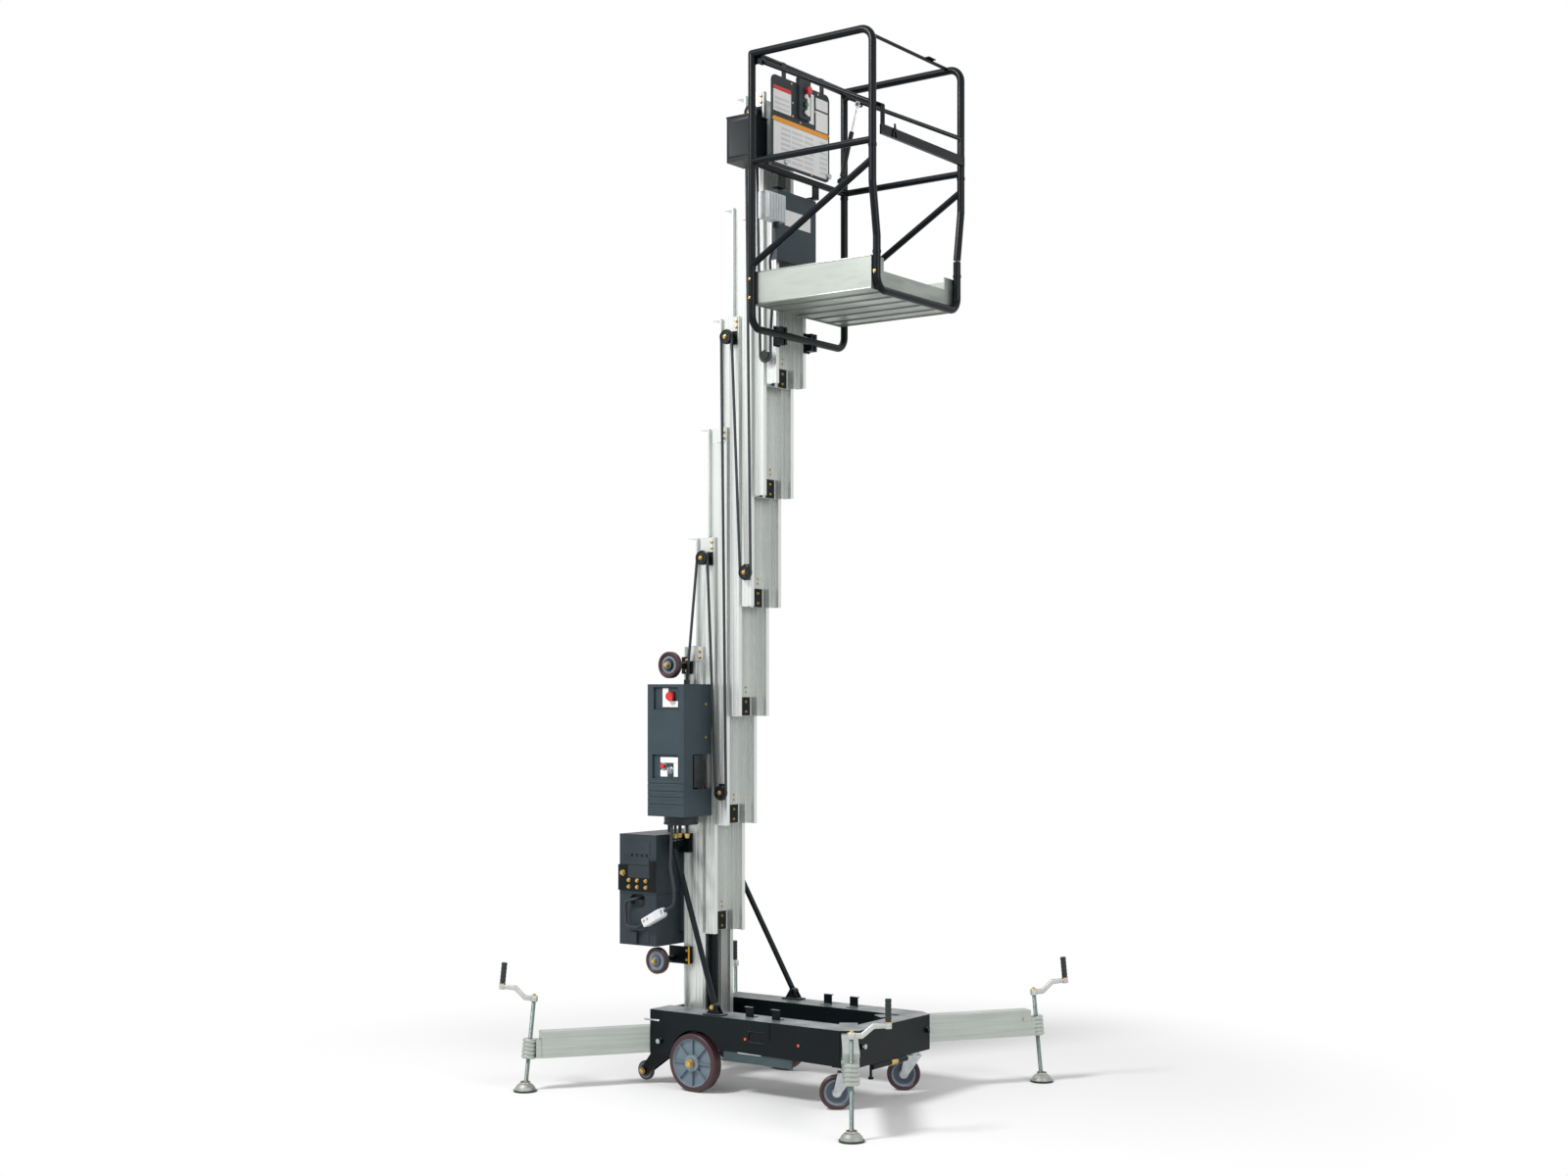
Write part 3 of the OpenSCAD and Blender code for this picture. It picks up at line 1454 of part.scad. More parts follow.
foot_h = 44;
screw_tip = 12;
module jack_foot(j) {
    r = foot_d / 2;
    color([0.25, 0.26, 0.28])
    difference() {
        jack_place(j)
            rotate_extrude()
                polygon([[0, 0], [r, 0], [r, 8], [r - 4, 10], [r - 8, 22], [r - 20, 34],
                    [24, 38], [22, foot_h], [0, foot_h]]);
        screw_place(j)
            translate([0, 0, screw_tip]) cylinder(d = screw_d + 2 * nut_play, h = foot_h);
    }
}
module jack_foot_front_right() { jack_foot(0); }
module jack_foot_front_left() { jack_foot(1); }
module jack_foot_rear_right() { jack_foot(2); }
module jack_foot_rear_left() { jack_foot(3); }

module jack_crank(j) {
    rise = 40;
    color("silver")
    screw_place(j) {
        translate([0, 0, screw_tip + seat]) cylinder(d = screw_d, h = crank_height - screw_tip);
        rotate(crank_turn[j]) {
            translate([0, 0, crank_height - 14]) cylinder(d = 34, h = 26);
            translate([0, 9, crank_height])
                rotate([90, 0, 0])
                    linear_extrude(18)
                        polygon([[0, -12], [crank_arm * 0.3, -12], [crank_arm * 0.62, rise - 10],
                            [crank_arm, rise - 8], [crank_arm, rise + 8],
                            [crank_arm * 0.58, rise + 10], [crank_arm * 0.26, 10], [0, 10]]);
            translate([crank_arm, 0, crank_height + rise - 12]) cylinder(d = 28, h = 24);
            translate([crank_arm, 0, crank_height + rise]) cylinder(d = 12, h = 30);
            translate([crank_arm, 0, crank_height + rise + 14]) cylinder(d = 26, h = 96);
        }
    }
}
module jack_crank_front_right() { jack_crank(0); }
module jack_crank_front_left() { jack_crank(1); }
module jack_crank_rear_right() { jack_crank(2); }
module jack_crank_rear_left() { jack_crank(3); }

chassis_frame();
mast_section_1();
mast_braces();
lift_cylinder();
power_unit_cover();
hydraulic_power_unit();
battery_box();
battery_lead();
control_cable();
mast_section_2();
lift_rod();
mast_section_3();
mast_section_4();
mast_section_5();
mast_section_6();
mast_section_7();
platform_tray();
guardrail();
platform_console();
platform_electrics();
mast_cover();
rear_wheel_right();
rear_wheel_left();
tilt_wheel_right();
tilt_wheel_left();
upper_transport_wheel_right();
upper_transport_wheel_left();
lower_transport_wheel_right();
lower_transport_wheel_left();
caster_fork_right();
caster_fork_left();
caster_wheel_right();
caster_wheel_left();
outrigger_beam_front_right();
outrigger_beam_front_left();
outrigger_beam_rear_right();
outrigger_beam_rear_left();
jack_foot_front_right();
jack_foot_front_left();
jack_foot_rear_right();
jack_foot_rear_left();
jack_crank_front_right();
jack_crank_front_left();
jack_crank_rear_right();
jack_crank_rear_left();
lock_pin_front_right();
lock_pin_front_left();
lock_pin_rear_right();
lock_pin_rear_left();
entry_gate();
gas_spring_body();
gas_spring_rod();
platform_stop_button();
platform_up_button();
platform_down_button();
platform_enable_button();
ground_stop_button();
ground_key_switch();
ground_lift_button();
brake_pedal();
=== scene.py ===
# %% [markdown]
# # Dressing a push-around mast lift
# The solid model of the lift comes in as a fixed frame: seven mast sections, a
# wheeled base, four screw outriggers and a one-person cage. Nothing in that frame
# moves or changes shape here. What Blender adds is what the eye looks for: the
# cable over its rollers, bolts, threads and panel lines, and a finish for each
# surface.

# %% Load the lift
import json
import math
import bmesh
import bpy
from mathutils import Matrix, Vector


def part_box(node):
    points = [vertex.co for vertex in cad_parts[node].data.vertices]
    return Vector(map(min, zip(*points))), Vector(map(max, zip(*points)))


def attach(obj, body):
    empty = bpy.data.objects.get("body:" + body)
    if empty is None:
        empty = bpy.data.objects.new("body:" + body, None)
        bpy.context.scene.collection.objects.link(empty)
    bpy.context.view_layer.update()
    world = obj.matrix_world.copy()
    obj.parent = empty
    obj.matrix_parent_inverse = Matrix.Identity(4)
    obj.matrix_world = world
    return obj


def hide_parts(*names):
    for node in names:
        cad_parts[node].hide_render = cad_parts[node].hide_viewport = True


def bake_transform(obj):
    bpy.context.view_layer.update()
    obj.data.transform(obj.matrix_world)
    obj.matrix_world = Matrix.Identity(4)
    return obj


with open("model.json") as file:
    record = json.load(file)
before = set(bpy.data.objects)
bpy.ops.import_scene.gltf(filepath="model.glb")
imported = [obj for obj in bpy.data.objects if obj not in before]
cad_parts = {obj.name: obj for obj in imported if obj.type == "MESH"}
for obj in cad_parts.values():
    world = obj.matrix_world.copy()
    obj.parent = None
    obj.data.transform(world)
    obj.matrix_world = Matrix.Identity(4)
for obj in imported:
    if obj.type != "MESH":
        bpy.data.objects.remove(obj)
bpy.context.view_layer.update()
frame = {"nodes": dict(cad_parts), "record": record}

nodes = frame["nodes"]
scene = bpy.context.scene

# %% [markdown]
# ## Camera
# The photograph was taken from about eye height, level, and nearer to the machine's
# right side than to its front. A level camera keeps the mast upright, and a small
# lens shift lifts the frame to the platform without tilting anything.

# %% Camera
photo_lens = bpy.data.cameras.new("photo_camera")
photo_lens.lens = 47.19
photo_lens.sensor_width = 36
photo_lens.shift_y = 0.0668
photo_camera = bpy.data.objects.new("photo_camera", photo_lens)
photo_camera.location = (5.551, -7.689, 1.8165)
photo_camera.rotation_euler = (math.radians(90), 0, math.radians(35.90))
scene.collection.objects.link(photo_camera)
scene.camera = photo_camera
print("camera stands", round(photo_camera.location.length, 2), "m from the middle of the base")

# %% [markdown]
# ## Helpers for pieces
# Each new piece ends in the same way: its place goes into its mesh, so the object
# sits at the origin as the solids do, and then it rides on the body that carries
# it. Operators act on everything that is selected, so start() clears that first.


# %% Piece helpers
def start():
    """Leave edit mode and select nothing."""
    if bpy.context.object and bpy.context.object.mode != "OBJECT":
        bpy.ops.object.mode_set(mode="OBJECT")
    bpy.ops.object.select_all(action="DESELECT")


def take(piece):
    """Select one piece alone and make it the active object."""
    start()
    piece.select_set(True)
    bpy.context.view_layer.objects.active = piece


def settle(name):
    """Name the piece in hand and move its place into its mesh."""
    piece = bpy.context.object
    piece.name = name
    piece.data.name = name
    bpy.ops.object.transform_apply(location=True, rotation=True, scale=True)
    return piece


def settle_at(piece, place, name):
    """Put a piece at a place given as a matrix, then settle it there."""
    piece.matrix_world = place
    take(piece)
    return settle(name)


def finish_piece(piece, body, material, smooth=35):
    """Material, smooth shading up to an angle, and body of a piece."""
    piece.data.materials.clear()
    piece.data.materials.append(material)
    take(piece)
    if smooth:
        bpy.ops.object.shade_smooth_by_angle(angle=math.radians(smooth))
    if body:
        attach(piece, body)
    return piece


def pick(kind, test):
    """Select the faces, edges or verts of the piece in edit mode that pass the test."""
    bpy.ops.mesh.select_mode(type={"faces": "FACE", "edges": "EDGE", "verts": "VERT"}[kind])
    bpy.ops.mesh.select_all(action="DESELECT")
    mesh = bmesh.from_edit_mesh(bpy.context.object.data)
    for part in getattr(mesh, kind):
        part.select_set(bool(test(part)))
    mesh.select_flush_mode()
    bmesh.update_edit_mesh(bpy.context.object.data)


print("piece helpers ready")

# %% [markdown]
# ## Finishes: shared effects
# Four effects come back in many finishes, so each is a node group that is built
# once: a cloudy shift of tone, a fine grain, the fine lines of drawn or ground
# metal, and a paler colour on faces that look up, which is dust and, on paint, a
# painted sheen in place of the sky's reflection. A group hands out only
# colours, masks, heights and roughness. The shader stays in each material.


# %% Node helpers
def paint(r, g, b):
    """A colour as read off a screen, 0 to 255, as the linear colour that nodes use."""
    return tuple(((c / 255 + 0.055) / 1.055) ** 2.4 if c > 10 else c / 255 / 12.92
                 for c in (r, g, b)) + (1.0,)


def add(tree, kind, at=(0, 0), **settings):
    """Add a node, set its properties, and set sockets given as a dictionary in `put`."""
    put = settings.pop("put", {})
    made = tree.nodes.new(kind)
    made.location = at
    for key, value in settings.items():
        setattr(made, key, value)
    for key, value in put.items():
        made.inputs[key].default_value = value
    return made


def link(tree, *pairs):
    """Link sockets; a pair is (node, its output, next node, its input)."""
    for source, outlet, target, inlet in pairs:
        tree.links.new(source.outputs[outlet], target.inputs[inlet])


def new_group(name, inputs, outputs):
    """An empty node group with its sockets: (name, kind, value) in, (name, kind) out."""
    group = bpy.data.node_groups.new(name, "ShaderNodeTree")
    for label, kind, value in inputs:
        socket = group.interface.new_socket(label, in_out="INPUT", socket_type="NodeSocket" + kind)
        socket.default_value = value
    for label, kind in outputs:
        group.interface.new_socket(label, in_out="OUTPUT", socket_type="NodeSocket" + kind)
    return group, add(group, "NodeGroupInput", (-900, 0)), add(group, "NodeGroupOutput", (500, 0))


print("node helpers ready")


# %% Cloudy tone
def make_cloudy_tone():
    group, gin, gout = new_group(
        "cloudy_tone",
        [("Base", "Color", (0.5, 0.5, 0.5, 1)), ("Other", "Color", (0.4, 0.4, 0.4, 1)),
         ("Scale", "Float", 6.0), ("Amount", "Float", 0.5)],
        [("Colour", "Color"), ("Mask", "Float")])
    where = add(group, "ShaderNodeTexCoord", (-900, 250))
    cloud = add(group, "ShaderNodeTexNoise", (-600, 200), put={"Detail": 4.0, "Roughness": 0.6})
    shape = add(group, "ShaderNodeMapRange", (-350, 200),
                put={"From Min": 0.35, "From Max": 0.68})
    share = add(group, "ShaderNodeMath", (-120, 100), operation="MULTIPLY")
    mix = add(group, "ShaderNodeMix", (120, 0), data_type="RGBA")
    link(group, (where, "Object", cloud, "Vector"), (gin, "Scale", cloud, "Scale"),
         (cloud, "Fac", shape, "Value"), (shape, "Result", share, 0), (gin, "Amount", share, 1),
         (share, 0, mix, "Factor"), (gin, "Base", mix, "A"), (gin, "Other", mix, "B"),
         (mix, "Result", gout, "Colour"), (shape, "Result", gout, "Mask"))
    return group


cloudy_tone = make_cloudy_tone()
print(cloudy_tone.name, "ready")


# %% Fine grain
def make_fine_grain():
    group, gin, gout = new_group(
        "fine_grain",
        [("Scale", "Float", 900.0), ("Low", "Float", 0.3), ("High", "Float", 0.5)],
        [("Height", "Float"), ("Roughness", "Float")])
    where = add(group, "ShaderNodeTexCoord", (-900, 250))
    grain = add(group, "ShaderNodeTexNoise", (-600, 200), put={"Detail": 3.0, "Roughness": 0.55})
    rough = add(group, "ShaderNodeMapRange", (-200, -100), put={"From Min": 0.3, "From Max": 0.7})
    link(group, (where, "Object", grain, "Vector"), (gin, "Scale", grain, "Scale"),
         (grain, "Fac", rough, "Value"), (gin, "Low", rough, "To Min"),
         (gin, "High", rough, "To Max"), (grain, "Fac", gout, "Height"),
         (rough, "Result", gout, "Roughness"))
    return group


fine_grain = make_fine_grain()
print(fine_grain.name, "ready")


# %% Drawn lines
def make_drawn_lines():
    group, gin, gout = new_group(
        "drawn_lines",
        [("Stretch", "Vector", (220.0, 220.0, 1.2)), ("Base", "Color", (0.8, 0.8, 0.8, 1)),
         ("Line", "Color", (0.6, 0.6, 0.6, 1)), ("Amount", "Float", 0.5),
         ("Low", "Float", 0.25), ("High", "Float", 0.45)],
        [("Colour", "Color"), ("Height", "Float"), ("Roughness", "Float")])
    where = add(group, "ShaderNodeTexCoord", (-1100, 250))
    stretch = add(group, "ShaderNodeVectorMath", (-850, 250), operation="MULTIPLY")
    lines = add(group, "ShaderNodeTexNoise", (-600, 250), put={"Scale": 1.0, "Detail": 3.0})
    shape = add(group, "ShaderNodeMapRange", (-350, 200), put={"From Min": 0.35, "From Max": 0.65})
    share = add(group, "ShaderNodeMath", (-120, 100), operation="MULTIPLY")
    mix = add(group, "ShaderNodeMix", (120, 0), data_type="RGBA")
    rough = add(group, "ShaderNodeMapRange", (120, -250))
    link(group, (where, "Object", stretch, 0), (gin, "Stretch", stretch, 1),
         (stretch, "Vector", lines, "Vector"), (lines, "Fac", shape, "Value"),
         (shape, "Result", share, 0), (gin, "Amount", share, 1), (share, 0, mix, "Factor"),
         (gin, "Base", mix, "A"), (gin, "Line", mix, "B"), (shape, "Result", rough, "Value"),
         (gin, "Low", rough, "To Min"), (gin, "High", rough, "To Max"),
         (mix, "Result", gout, "Colour"), (shape, "Result", gout, "Height"),
         (rough, "Result", gout, "Roughness"))
    return group


drawn_lines = make_drawn_lines()
print(drawn_lines.name, "ready")


# %% Dust and painted top sheen
def make_dust_and_top_sheen():
    group, gin, gout = new_group(
        "dust_and_top_sheen",
        [("Colour", "Color", (0.1, 0.1, 0.1, 1)), ("Dust and sheen", "Color", paint(120, 116, 108)),
         ("Amount", "Float", 0.4)],
        [("Colour", "Color"), ("Mask", "Float")])
    # Faces that look up get a paler colour: dust, and on paint a painted sheen that stands in for
    # the sky's reflection.
    surface = add(group, "ShaderNodeNewGeometry", (-1100, 200))
    split = add(group, "ShaderNodeSeparateXYZ", (-900, 200))
    up = add(group, "ShaderNodeMapRange", (-700, 200), put={"From Min": 0.55, "From Max": 1.0})
    where = add(group, "ShaderNodeTexCoord", (-900, -200))
    patch = add(group, "ShaderNodeTexNoise", (-700, -200), put={"Scale": 9.0, "Detail": 5.0})
    edge = add(group, "ShaderNodeMapRange", (-500, -200), put={"From Min": 0.15, "From Max": 0.80})
    both = add(group, "ShaderNodeMath", (-300, 100), operation="MULTIPLY")
    share = add(group, "ShaderNodeMath", (-120, 100), operation="MULTIPLY")
    mix = add(group, "ShaderNodeMix", (120, 0), data_type="RGBA")
    link(group, (surface, "Normal", split, 0), (split, "Z", up, "Value"),
         (where, "Object", patch, "Vector"), (patch, "Fac", edge, "Value"),
         (up, "Result", both, 0), (edge, "Result", both, 1), (both, 0, share, 0),
         (gin, "Amount", share, 1), (share, 0, mix, "Factor"), (gin, "Colour", mix, "A"),
         (gin, "Dust and sheen", mix, "B"), (mix, "Result", gout, "Colour"), (share, 0, gout, "Mask"))
    return group


dust_and_top_sheen = make_dust_and_top_sheen()
print(dust_and_top_sheen.name, "ready")

# %% [markdown]
# ## Finishes: paint, metal, plastic and rubber
# Black paint on welded steel is never flat: it has an orange peel that breaks its
# reflections, a cold tint where it catches the light, and on its top faces dust and a
# painted pale sheen that stands in for their reflection of the sky.
# Extruded aluminium shows die lines along its length. Moulded covers have a fine
# spark-eroded grain. Each finish gets these from the shared groups, with values of
# its own. Colours are given as they look on a screen.


# %% Start a finish
def new_finish(name, **constants):
    """A material with its Principled shader; constant values go on the shader's own sockets."""
    material = bpy.data.materials.new(name)
    material.use_nodes = True
    tree = material.node_tree
    shader = tree.nodes["Principled BSDF"]
    for key, value in constants.items():
        shader.inputs[key.replace("_", " ").title().replace("Ior", "IOR")].default_value = value
    return material, tree, shader


def place_group(tree, group, at, **values):
    """A shared group in this material, with values on its own sockets."""
    placed = add(tree, "ShaderNodeGroup", at, node_tree=group)
    for key, value in values.items():
        placed.inputs[key].default_value = value
    return placed


def bump(tree, shader, height, strength, distance):
    """Feed a height to the shader's normal."""
    node = add(tree, "ShaderNodeBump", (-250, -350),
               put={"Strength": strength, "Distance": distance})
    tree.links.new(height, node.inputs["Height"])
    link(tree, (node, "Normal", shader, "Normal"))
    return node


# %% Grained and painted finishes
def grained(name, base, other, scale, low, high, strength, distance=0.0005, tone_scale=6.0,
            amount=0.6, dust_and_sheen=0.3, dust_and_sheen_colour=None, **constants):
    """A cloudy tone under dust and painted top sheen on faces that look up, with a fine grain that
    breaks the reflections.
    """
    material, tree, shader = new_finish(name, **constants)
    tone = place_group(tree, cloudy_tone, (-700, 200), Base=base, Other=other,
                       Scale=tone_scale, Amount=amount)
    # Faces that look up get a paler colour: dust, and on paint a painted sheen for the sky's
    # reflection.
    dust_and_sheen_layer = place_group(tree, dust_and_top_sheen, (-450, 200), Amount=dust_and_sheen)
    if dust_and_sheen_colour:
        dust_and_sheen_layer.inputs["Dust and sheen"].default_value = dust_and_sheen_colour
    grain = place_group(tree, fine_grain, (-700, -200), Scale=scale, Low=low, High=high)
    link(tree, (tone, "Colour", dust_and_sheen_layer, "Colour"), (dust_and_sheen_layer, "Colour", shader, "Base Color"),
         (grain, "Roughness", shader, "Roughness"))
    bump(tree, shader, grain.outputs["Height"], strength, distance)
    return material


def painted(name, base, other, dust_and_sheen, scale=5.0, low=0.28, high=0.42, peel=0.08, amount=0.45):
    """Paint on steel: a coarser grain is the orange peel, and a thin clear coat lies on top."""
    # The paler colour on faces that look up is dust, and a painted sheen that stands in for the
    # sky's reflection on top faces.
    return grained(name, base, other, 330.0, low, high, peel, distance=0.0006, tone_scale=scale,
                   amount=0.7, dust_and_sheen=amount, dust_and_sheen_colour=dust_and_sheen, specular_ior_level=0.15,
                   coat_weight=0.03, coat_roughness=0.10)


# On black paint the pale grey on faces that look up, at amount 0.8, is a painted sheen for the
# sky's reflection on the top faces, with dust.
black_paint = painted("black_paint", paint(5, 13, 16), paint(11, 21, 25), paint(168, 176, 176),
                      amount=0.8)
rail_paint = painted("rail_paint", paint(5, 11, 15), paint(11, 18, 24), paint(120, 128, 128),
                     low=0.27, high=0.36, peel=0.025, amount=0.08)
cylinder_paint = painted("cylinder_paint", paint(14, 22, 25), paint(22, 34, 38),
                         paint(80, 84, 84), amount=0.2)
console_metal = painted("console_metal", paint(52, 58, 62), paint(64, 70, 74),
                        paint(120, 122, 120), scale=9.0, low=0.4, high=0.55, amount=0.2)
print("paints:", black_paint.name, cylinder_paint.name, console_metal.name)


# %% Drawn and cast metal
def drawn(name, base, line, stretch, amount=0.5, low=0.25, high=0.42, metal=0.9, strength=0.12):
    """Metal with fine lines; stretch is how often they repeat per metre along X, Y and Z."""
    material, tree, shader = new_finish(name, metallic=metal)
    lines = place_group(tree, drawn_lines, (-600, 200), Stretch=stretch, Base=base, Line=line,
                        Amount=amount, Low=low, High=high)
    tone = place_group(tree, cloudy_tone, (-350, 200), Other=line, Scale=3.0, Amount=0.35)
    link(tree, (lines, "Colour", tone, "Base"), (tone, "Colour", shader, "Base Color"),
         (lines, "Roughness", shader, "Roughness"))
    bump(tree, shader, lines.outputs["Height"], strength, 0.0004)
    return material


def rubber_beside(material, side):
    """Black rubber beyond a plane across Y: the rollers are one solid with their section."""
    tree = material.node_tree
    shader = tree.nodes["Principled BSDF"]
    colour = shader.inputs["Base Color"].links[0].from_socket
    where = add(tree, "ShaderNodeTexCoord", (-900, 500))
    split = add(tree, "ShaderNodeSeparateXYZ", (-700, 500))
    beyond = add(tree, "ShaderNodeMath", (-500, 500), operation="LESS_THAN", put={1: side})
    mix = add(tree, "ShaderNodeMix", (-150, 400), data_type="RGBA", put={"B": paint(16, 22, 24)})
    metal = add(tree, "ShaderNodeMapRange", (-150, 100),
                put={"To Min": shader.inputs["Metallic"].default_value, "To Max": 0.0})
    link(tree, (where, "Object", split, 0), (split, "Y", beyond, 0), (beyond, 0, mix, "Factor"),
         (beyond, 0, metal, "Value"))
    tree.links.new(colour, mix.inputs["A"])
    link(tree, (mix, "Result", shader, "Base Color"), (metal, "Result", shader, "Metallic"))
    return material


rubber_from_y = -0.1275
mast_aluminium = rubber_beside(
    drawn("mast_aluminium", paint(224, 227, 224), paint(204, 210, 208), (170, 170, 0.12),
          amount=0.25, low=0.22, high=0.34, metal=0.55, strength=0.03), rubber_from_y)
bare_aluminium = drawn("bare_aluminium", paint(160, 165, 159), paint(124, 131, 127), (5, 5, 26),
                       amount=0.5, low=0.34, high=0.52, metal=0.85, strength=0.05)
bright_steel = drawn("bright_steel", paint(205, 208, 210), paint(170, 174, 178), (90, 90, 700),
                     amount=0.4, low=0.12, high=0.22, metal=1.0)
print("drawn metals:", mast_aluminium.name, bare_aluminium.name, bright_steel.name)


# %% Grained finishes
zinc_steel = grained("zinc_steel", paint(196, 200, 200), paint(150, 162, 168), 420, 0.2, 0.4, 0.1,
                     tone_scale=40, dust_and_sheen=0.0, metallic=1.0)
gold_zinc = grained("gold_zinc", paint(214, 182, 112), paint(176, 150, 96), 500, 0.22, 0.4, 0.1,
                    tone_scale=60, dust_and_sheen=0.0, metallic=1.0)
cast_aluminium = grained("cast_aluminium", paint(200, 202, 198), paint(160, 164, 162), 260, 0.35,
                         0.55, 0.35, tone_scale=18, dust_and_sheen=0.1, metallic=0.85)
beam_metal = drawn("beam_metal", paint(184, 189, 183), paint(152, 160, 156), (3, 3, 90),
                   amount=0.4, low=0.28, high=0.46, metal=0.8, strength=0.06)
screw_steel = grained("screw_steel", paint(126, 140, 138), paint(96, 108, 108), 300, 0.34, 0.5,
                      0.1, tone_scale=30, dust_and_sheen=0.0, metallic=0.85)
foot_metal = grained("foot_metal", paint(168, 172, 166), paint(116, 122, 120), 240, 0.35, 0.6,
                     0.3, tone_scale=22, dust_and_sheen=0.3, metallic=0.8)
slate_cover = grained("slate_cover", paint(52, 66, 73), paint(42, 54, 61), 1500, 0.42, 0.6, 0.35,
                      specular_ior_level=0.3)
battery_cover = grained("battery_cover", paint(42, 53, 59), paint(32, 42, 48), 1400, 0.38, 0.56,
                        0.35, specular_ior_level=0.3)
power_unit = grained("power_unit", paint(34, 40, 44), paint(22, 27, 30), 300, 0.4, 0.6, 0.4,
                     metallic=0.3)
black_plastic = grained("black_plastic", paint(14, 20, 23), paint(22, 28, 31), 1200, 0.35, 0.5,
                        0.2, specular_ior_level=0.25)
red_plastic = grained("red_plastic", paint(205, 26, 34), paint(180, 16, 26), 500, 0.18, 0.28, 0.04,
                      dust_and_sheen=0.1, coat_weight=0.4, coat_roughness=0.08)
white_plastic = grained("white_plastic", paint(236, 236, 230), paint(222, 222, 214), 500, 0.25,
                        0.35, 0.04, dust_and_sheen=0.1)
green_plastic = grained("green_plastic", paint(22, 132, 66), paint(14, 110, 52), 500, 0.2, 0.3,
                        0.04, dust_and_sheen=0.1, coat_weight=0.4, coat_roughness=0.08)
cable_rubber = grained("cable_rubber", paint(22, 28, 32), paint(34, 42, 48), 700, 0.42, 0.6, 0.3,
                       tone_scale=30)
print("grained finishes ready")

# %% [markdown]
# ## Finish of the wheels
# Each wheel is one moulding of two colours: a maroon tyre of hard polyurethane cast
# round a blue-grey hub. The solid is one piece, so the shader finds the border. It
# measures how far a point is from the axle and changes colour at the rim, and it
# paints the hub's recessed dish darker as painted shade. A subtraction moves the
# axle to the origin, and a Mapping node turns it to point along Y.


# %% Tyre and hub
def make_axle_bands():
    group, gin, gout = new_group(
        "axle_bands",
        [("Point", "Vector", (0, 0, 0)), ("Rim", "Float", 0.1), ("Recess", "Float", 0.08),
         ("Hub", "Float", 0.03)],
        [("Tyre", "Float"), ("Dish", "Float")])
    flat = add(group, "ShaderNodeVectorMath", (-700, 0), operation="MULTIPLY",
               put={1: (1, 0, 1)})
    far = add(group, "ShaderNodeVectorMath", (-500, 0), operation="LENGTH")
    tyre = add(group, "ShaderNodeMath", (-250, 150), operation="GREATER_THAN")
    inside = add(group, "ShaderNodeMath", (-250, -50), operation="LESS_THAN")
    outside = add(group, "ShaderNodeMath", (-250, -250), operation="GREATER_THAN")
    dish = add(group, "ShaderNodeMath", (0, -150), operation="MULTIPLY")
    link(group, (gin, "Point", flat, 0), (flat, "Vector", far, 0))
    for test, limit in ((tyre, "Rim"), (inside, "Recess"), (outside, "Hub")):
        link(group, (far, "Value", test, 0), (gin, limit, test, 1))
    link(group, (inside, 0, dish, 0), (outside, 0, dish, 1), (tyre, 0, gout, "Tyre"),
         (dish, 0, gout, "Dish"))
    return group


axle_bands = make_axle_bands()


def wheel_finish(name, axle, heading, rim, recess, hub, hub_colour, dish_shade_colour):
    """Tyre, dish and hub of one solid, told apart by three radii round its axle."""
    material, tree, shader = new_finish(name)
    where = add(tree, "ShaderNodeTexCoord", (-1500, 0))
    middle = add(tree, "ShaderNodeVectorMath", (-1300, 0), operation="SUBTRACT", put={1: axle})
    turn = add(tree, "ShaderNodeMapping", (-1100, 0), vector_type="POINT",
               put={"Rotation": (0, 0, -heading)})
    bands = place_group(tree, axle_bands, (-850, 0), Rim=rim, Recess=recess, Hub=hub)
    tyre = place_group(tree, cloudy_tone, (-850, 400), Base=paint(62, 34, 38),
                       Other=paint(44, 26, 30), Scale=18.0, Amount=0.7)
    grain = place_group(tree, fine_grain, (-850, -300), Scale=420.0, Low=0.32, High=0.5)
    darker_hub = tuple(c * 0.75 for c in hub_colour[:3]) + (1,)
    body = place_group(tree, cloudy_tone, (-850, 700), Base=hub_colour, Other=darker_hub,
                       Scale=24.0, Amount=0.5)
    # The dish between the Recess and Hub radii gets a darker colour: painted shade in the hub's
    # recess.
    shaded_dish = add(tree, "ShaderNodeMix", (-550, 500), data_type="RGBA", put={"B": dish_shade_colour})
    both = add(tree, "ShaderNodeMix", (-350, 300), data_type="RGBA")
    link(tree, (where, "Object", middle, 0), (middle, "Vector", turn, "Vector"),
         (turn, "Vector", bands, "Point"), (bands, "Dish", shaded_dish, "Factor"),
         (body, "Colour", shaded_dish, "A"), (bands, "Tyre", both, "Factor"),
         (shaded_dish, "Result", both, "A"), (tyre, "Colour", both, "B"),
         (both, "Result", shader, "Base Color"), (grain, "Roughness", shader, "Roughness"))
    bump(tree, shader, grain.outputs["Height"], 0.15, 0.0005)
    return material


def middle_of(node):
    """Middle of a solid's box."""
    low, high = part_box(node)
    return (low + high) / 2


grey_hub = paint(116, 131, 142)
wheel_finishes = {}
# The last colour of each row is painted shade for the hub's recessed dish.
for node, heading, rim, recess, hub, dish_shade_colour in (
        ("rear_wheel", 0, 0.83, 0.74, 0.30, paint(102, 117, 128)),
        ("tilt_wheel", 0, 0.83, 0.60, 0.40, paint(40, 46, 54)),
        ("upper_transport_wheel", 0, 0.66, 0.50, 0.30, paint(36, 42, 50)),
        ("lower_transport_wheel", 0, 0.72, 0.50, 0.30, paint(84, 96, 112)),
        ("caster_wheel", 36, 0.76, 0.62, 0.30, paint(60, 70, 84))):
    for side in ("right", "left"):
        low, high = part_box(f"{node}_{side}")
        radius = (high.z - low.z) / 2
        wheel_finishes[f"{node}_{side}"] = wheel_finish(
            f"tyre_rubber_{node}_{side}", middle_of(f"{node}_{side}"), math.radians(heading),
            radius * rim, radius * recess, radius * hub, grey_hub, dish_shade_colour)
print(len(wheel_finishes), "wheel finishes")

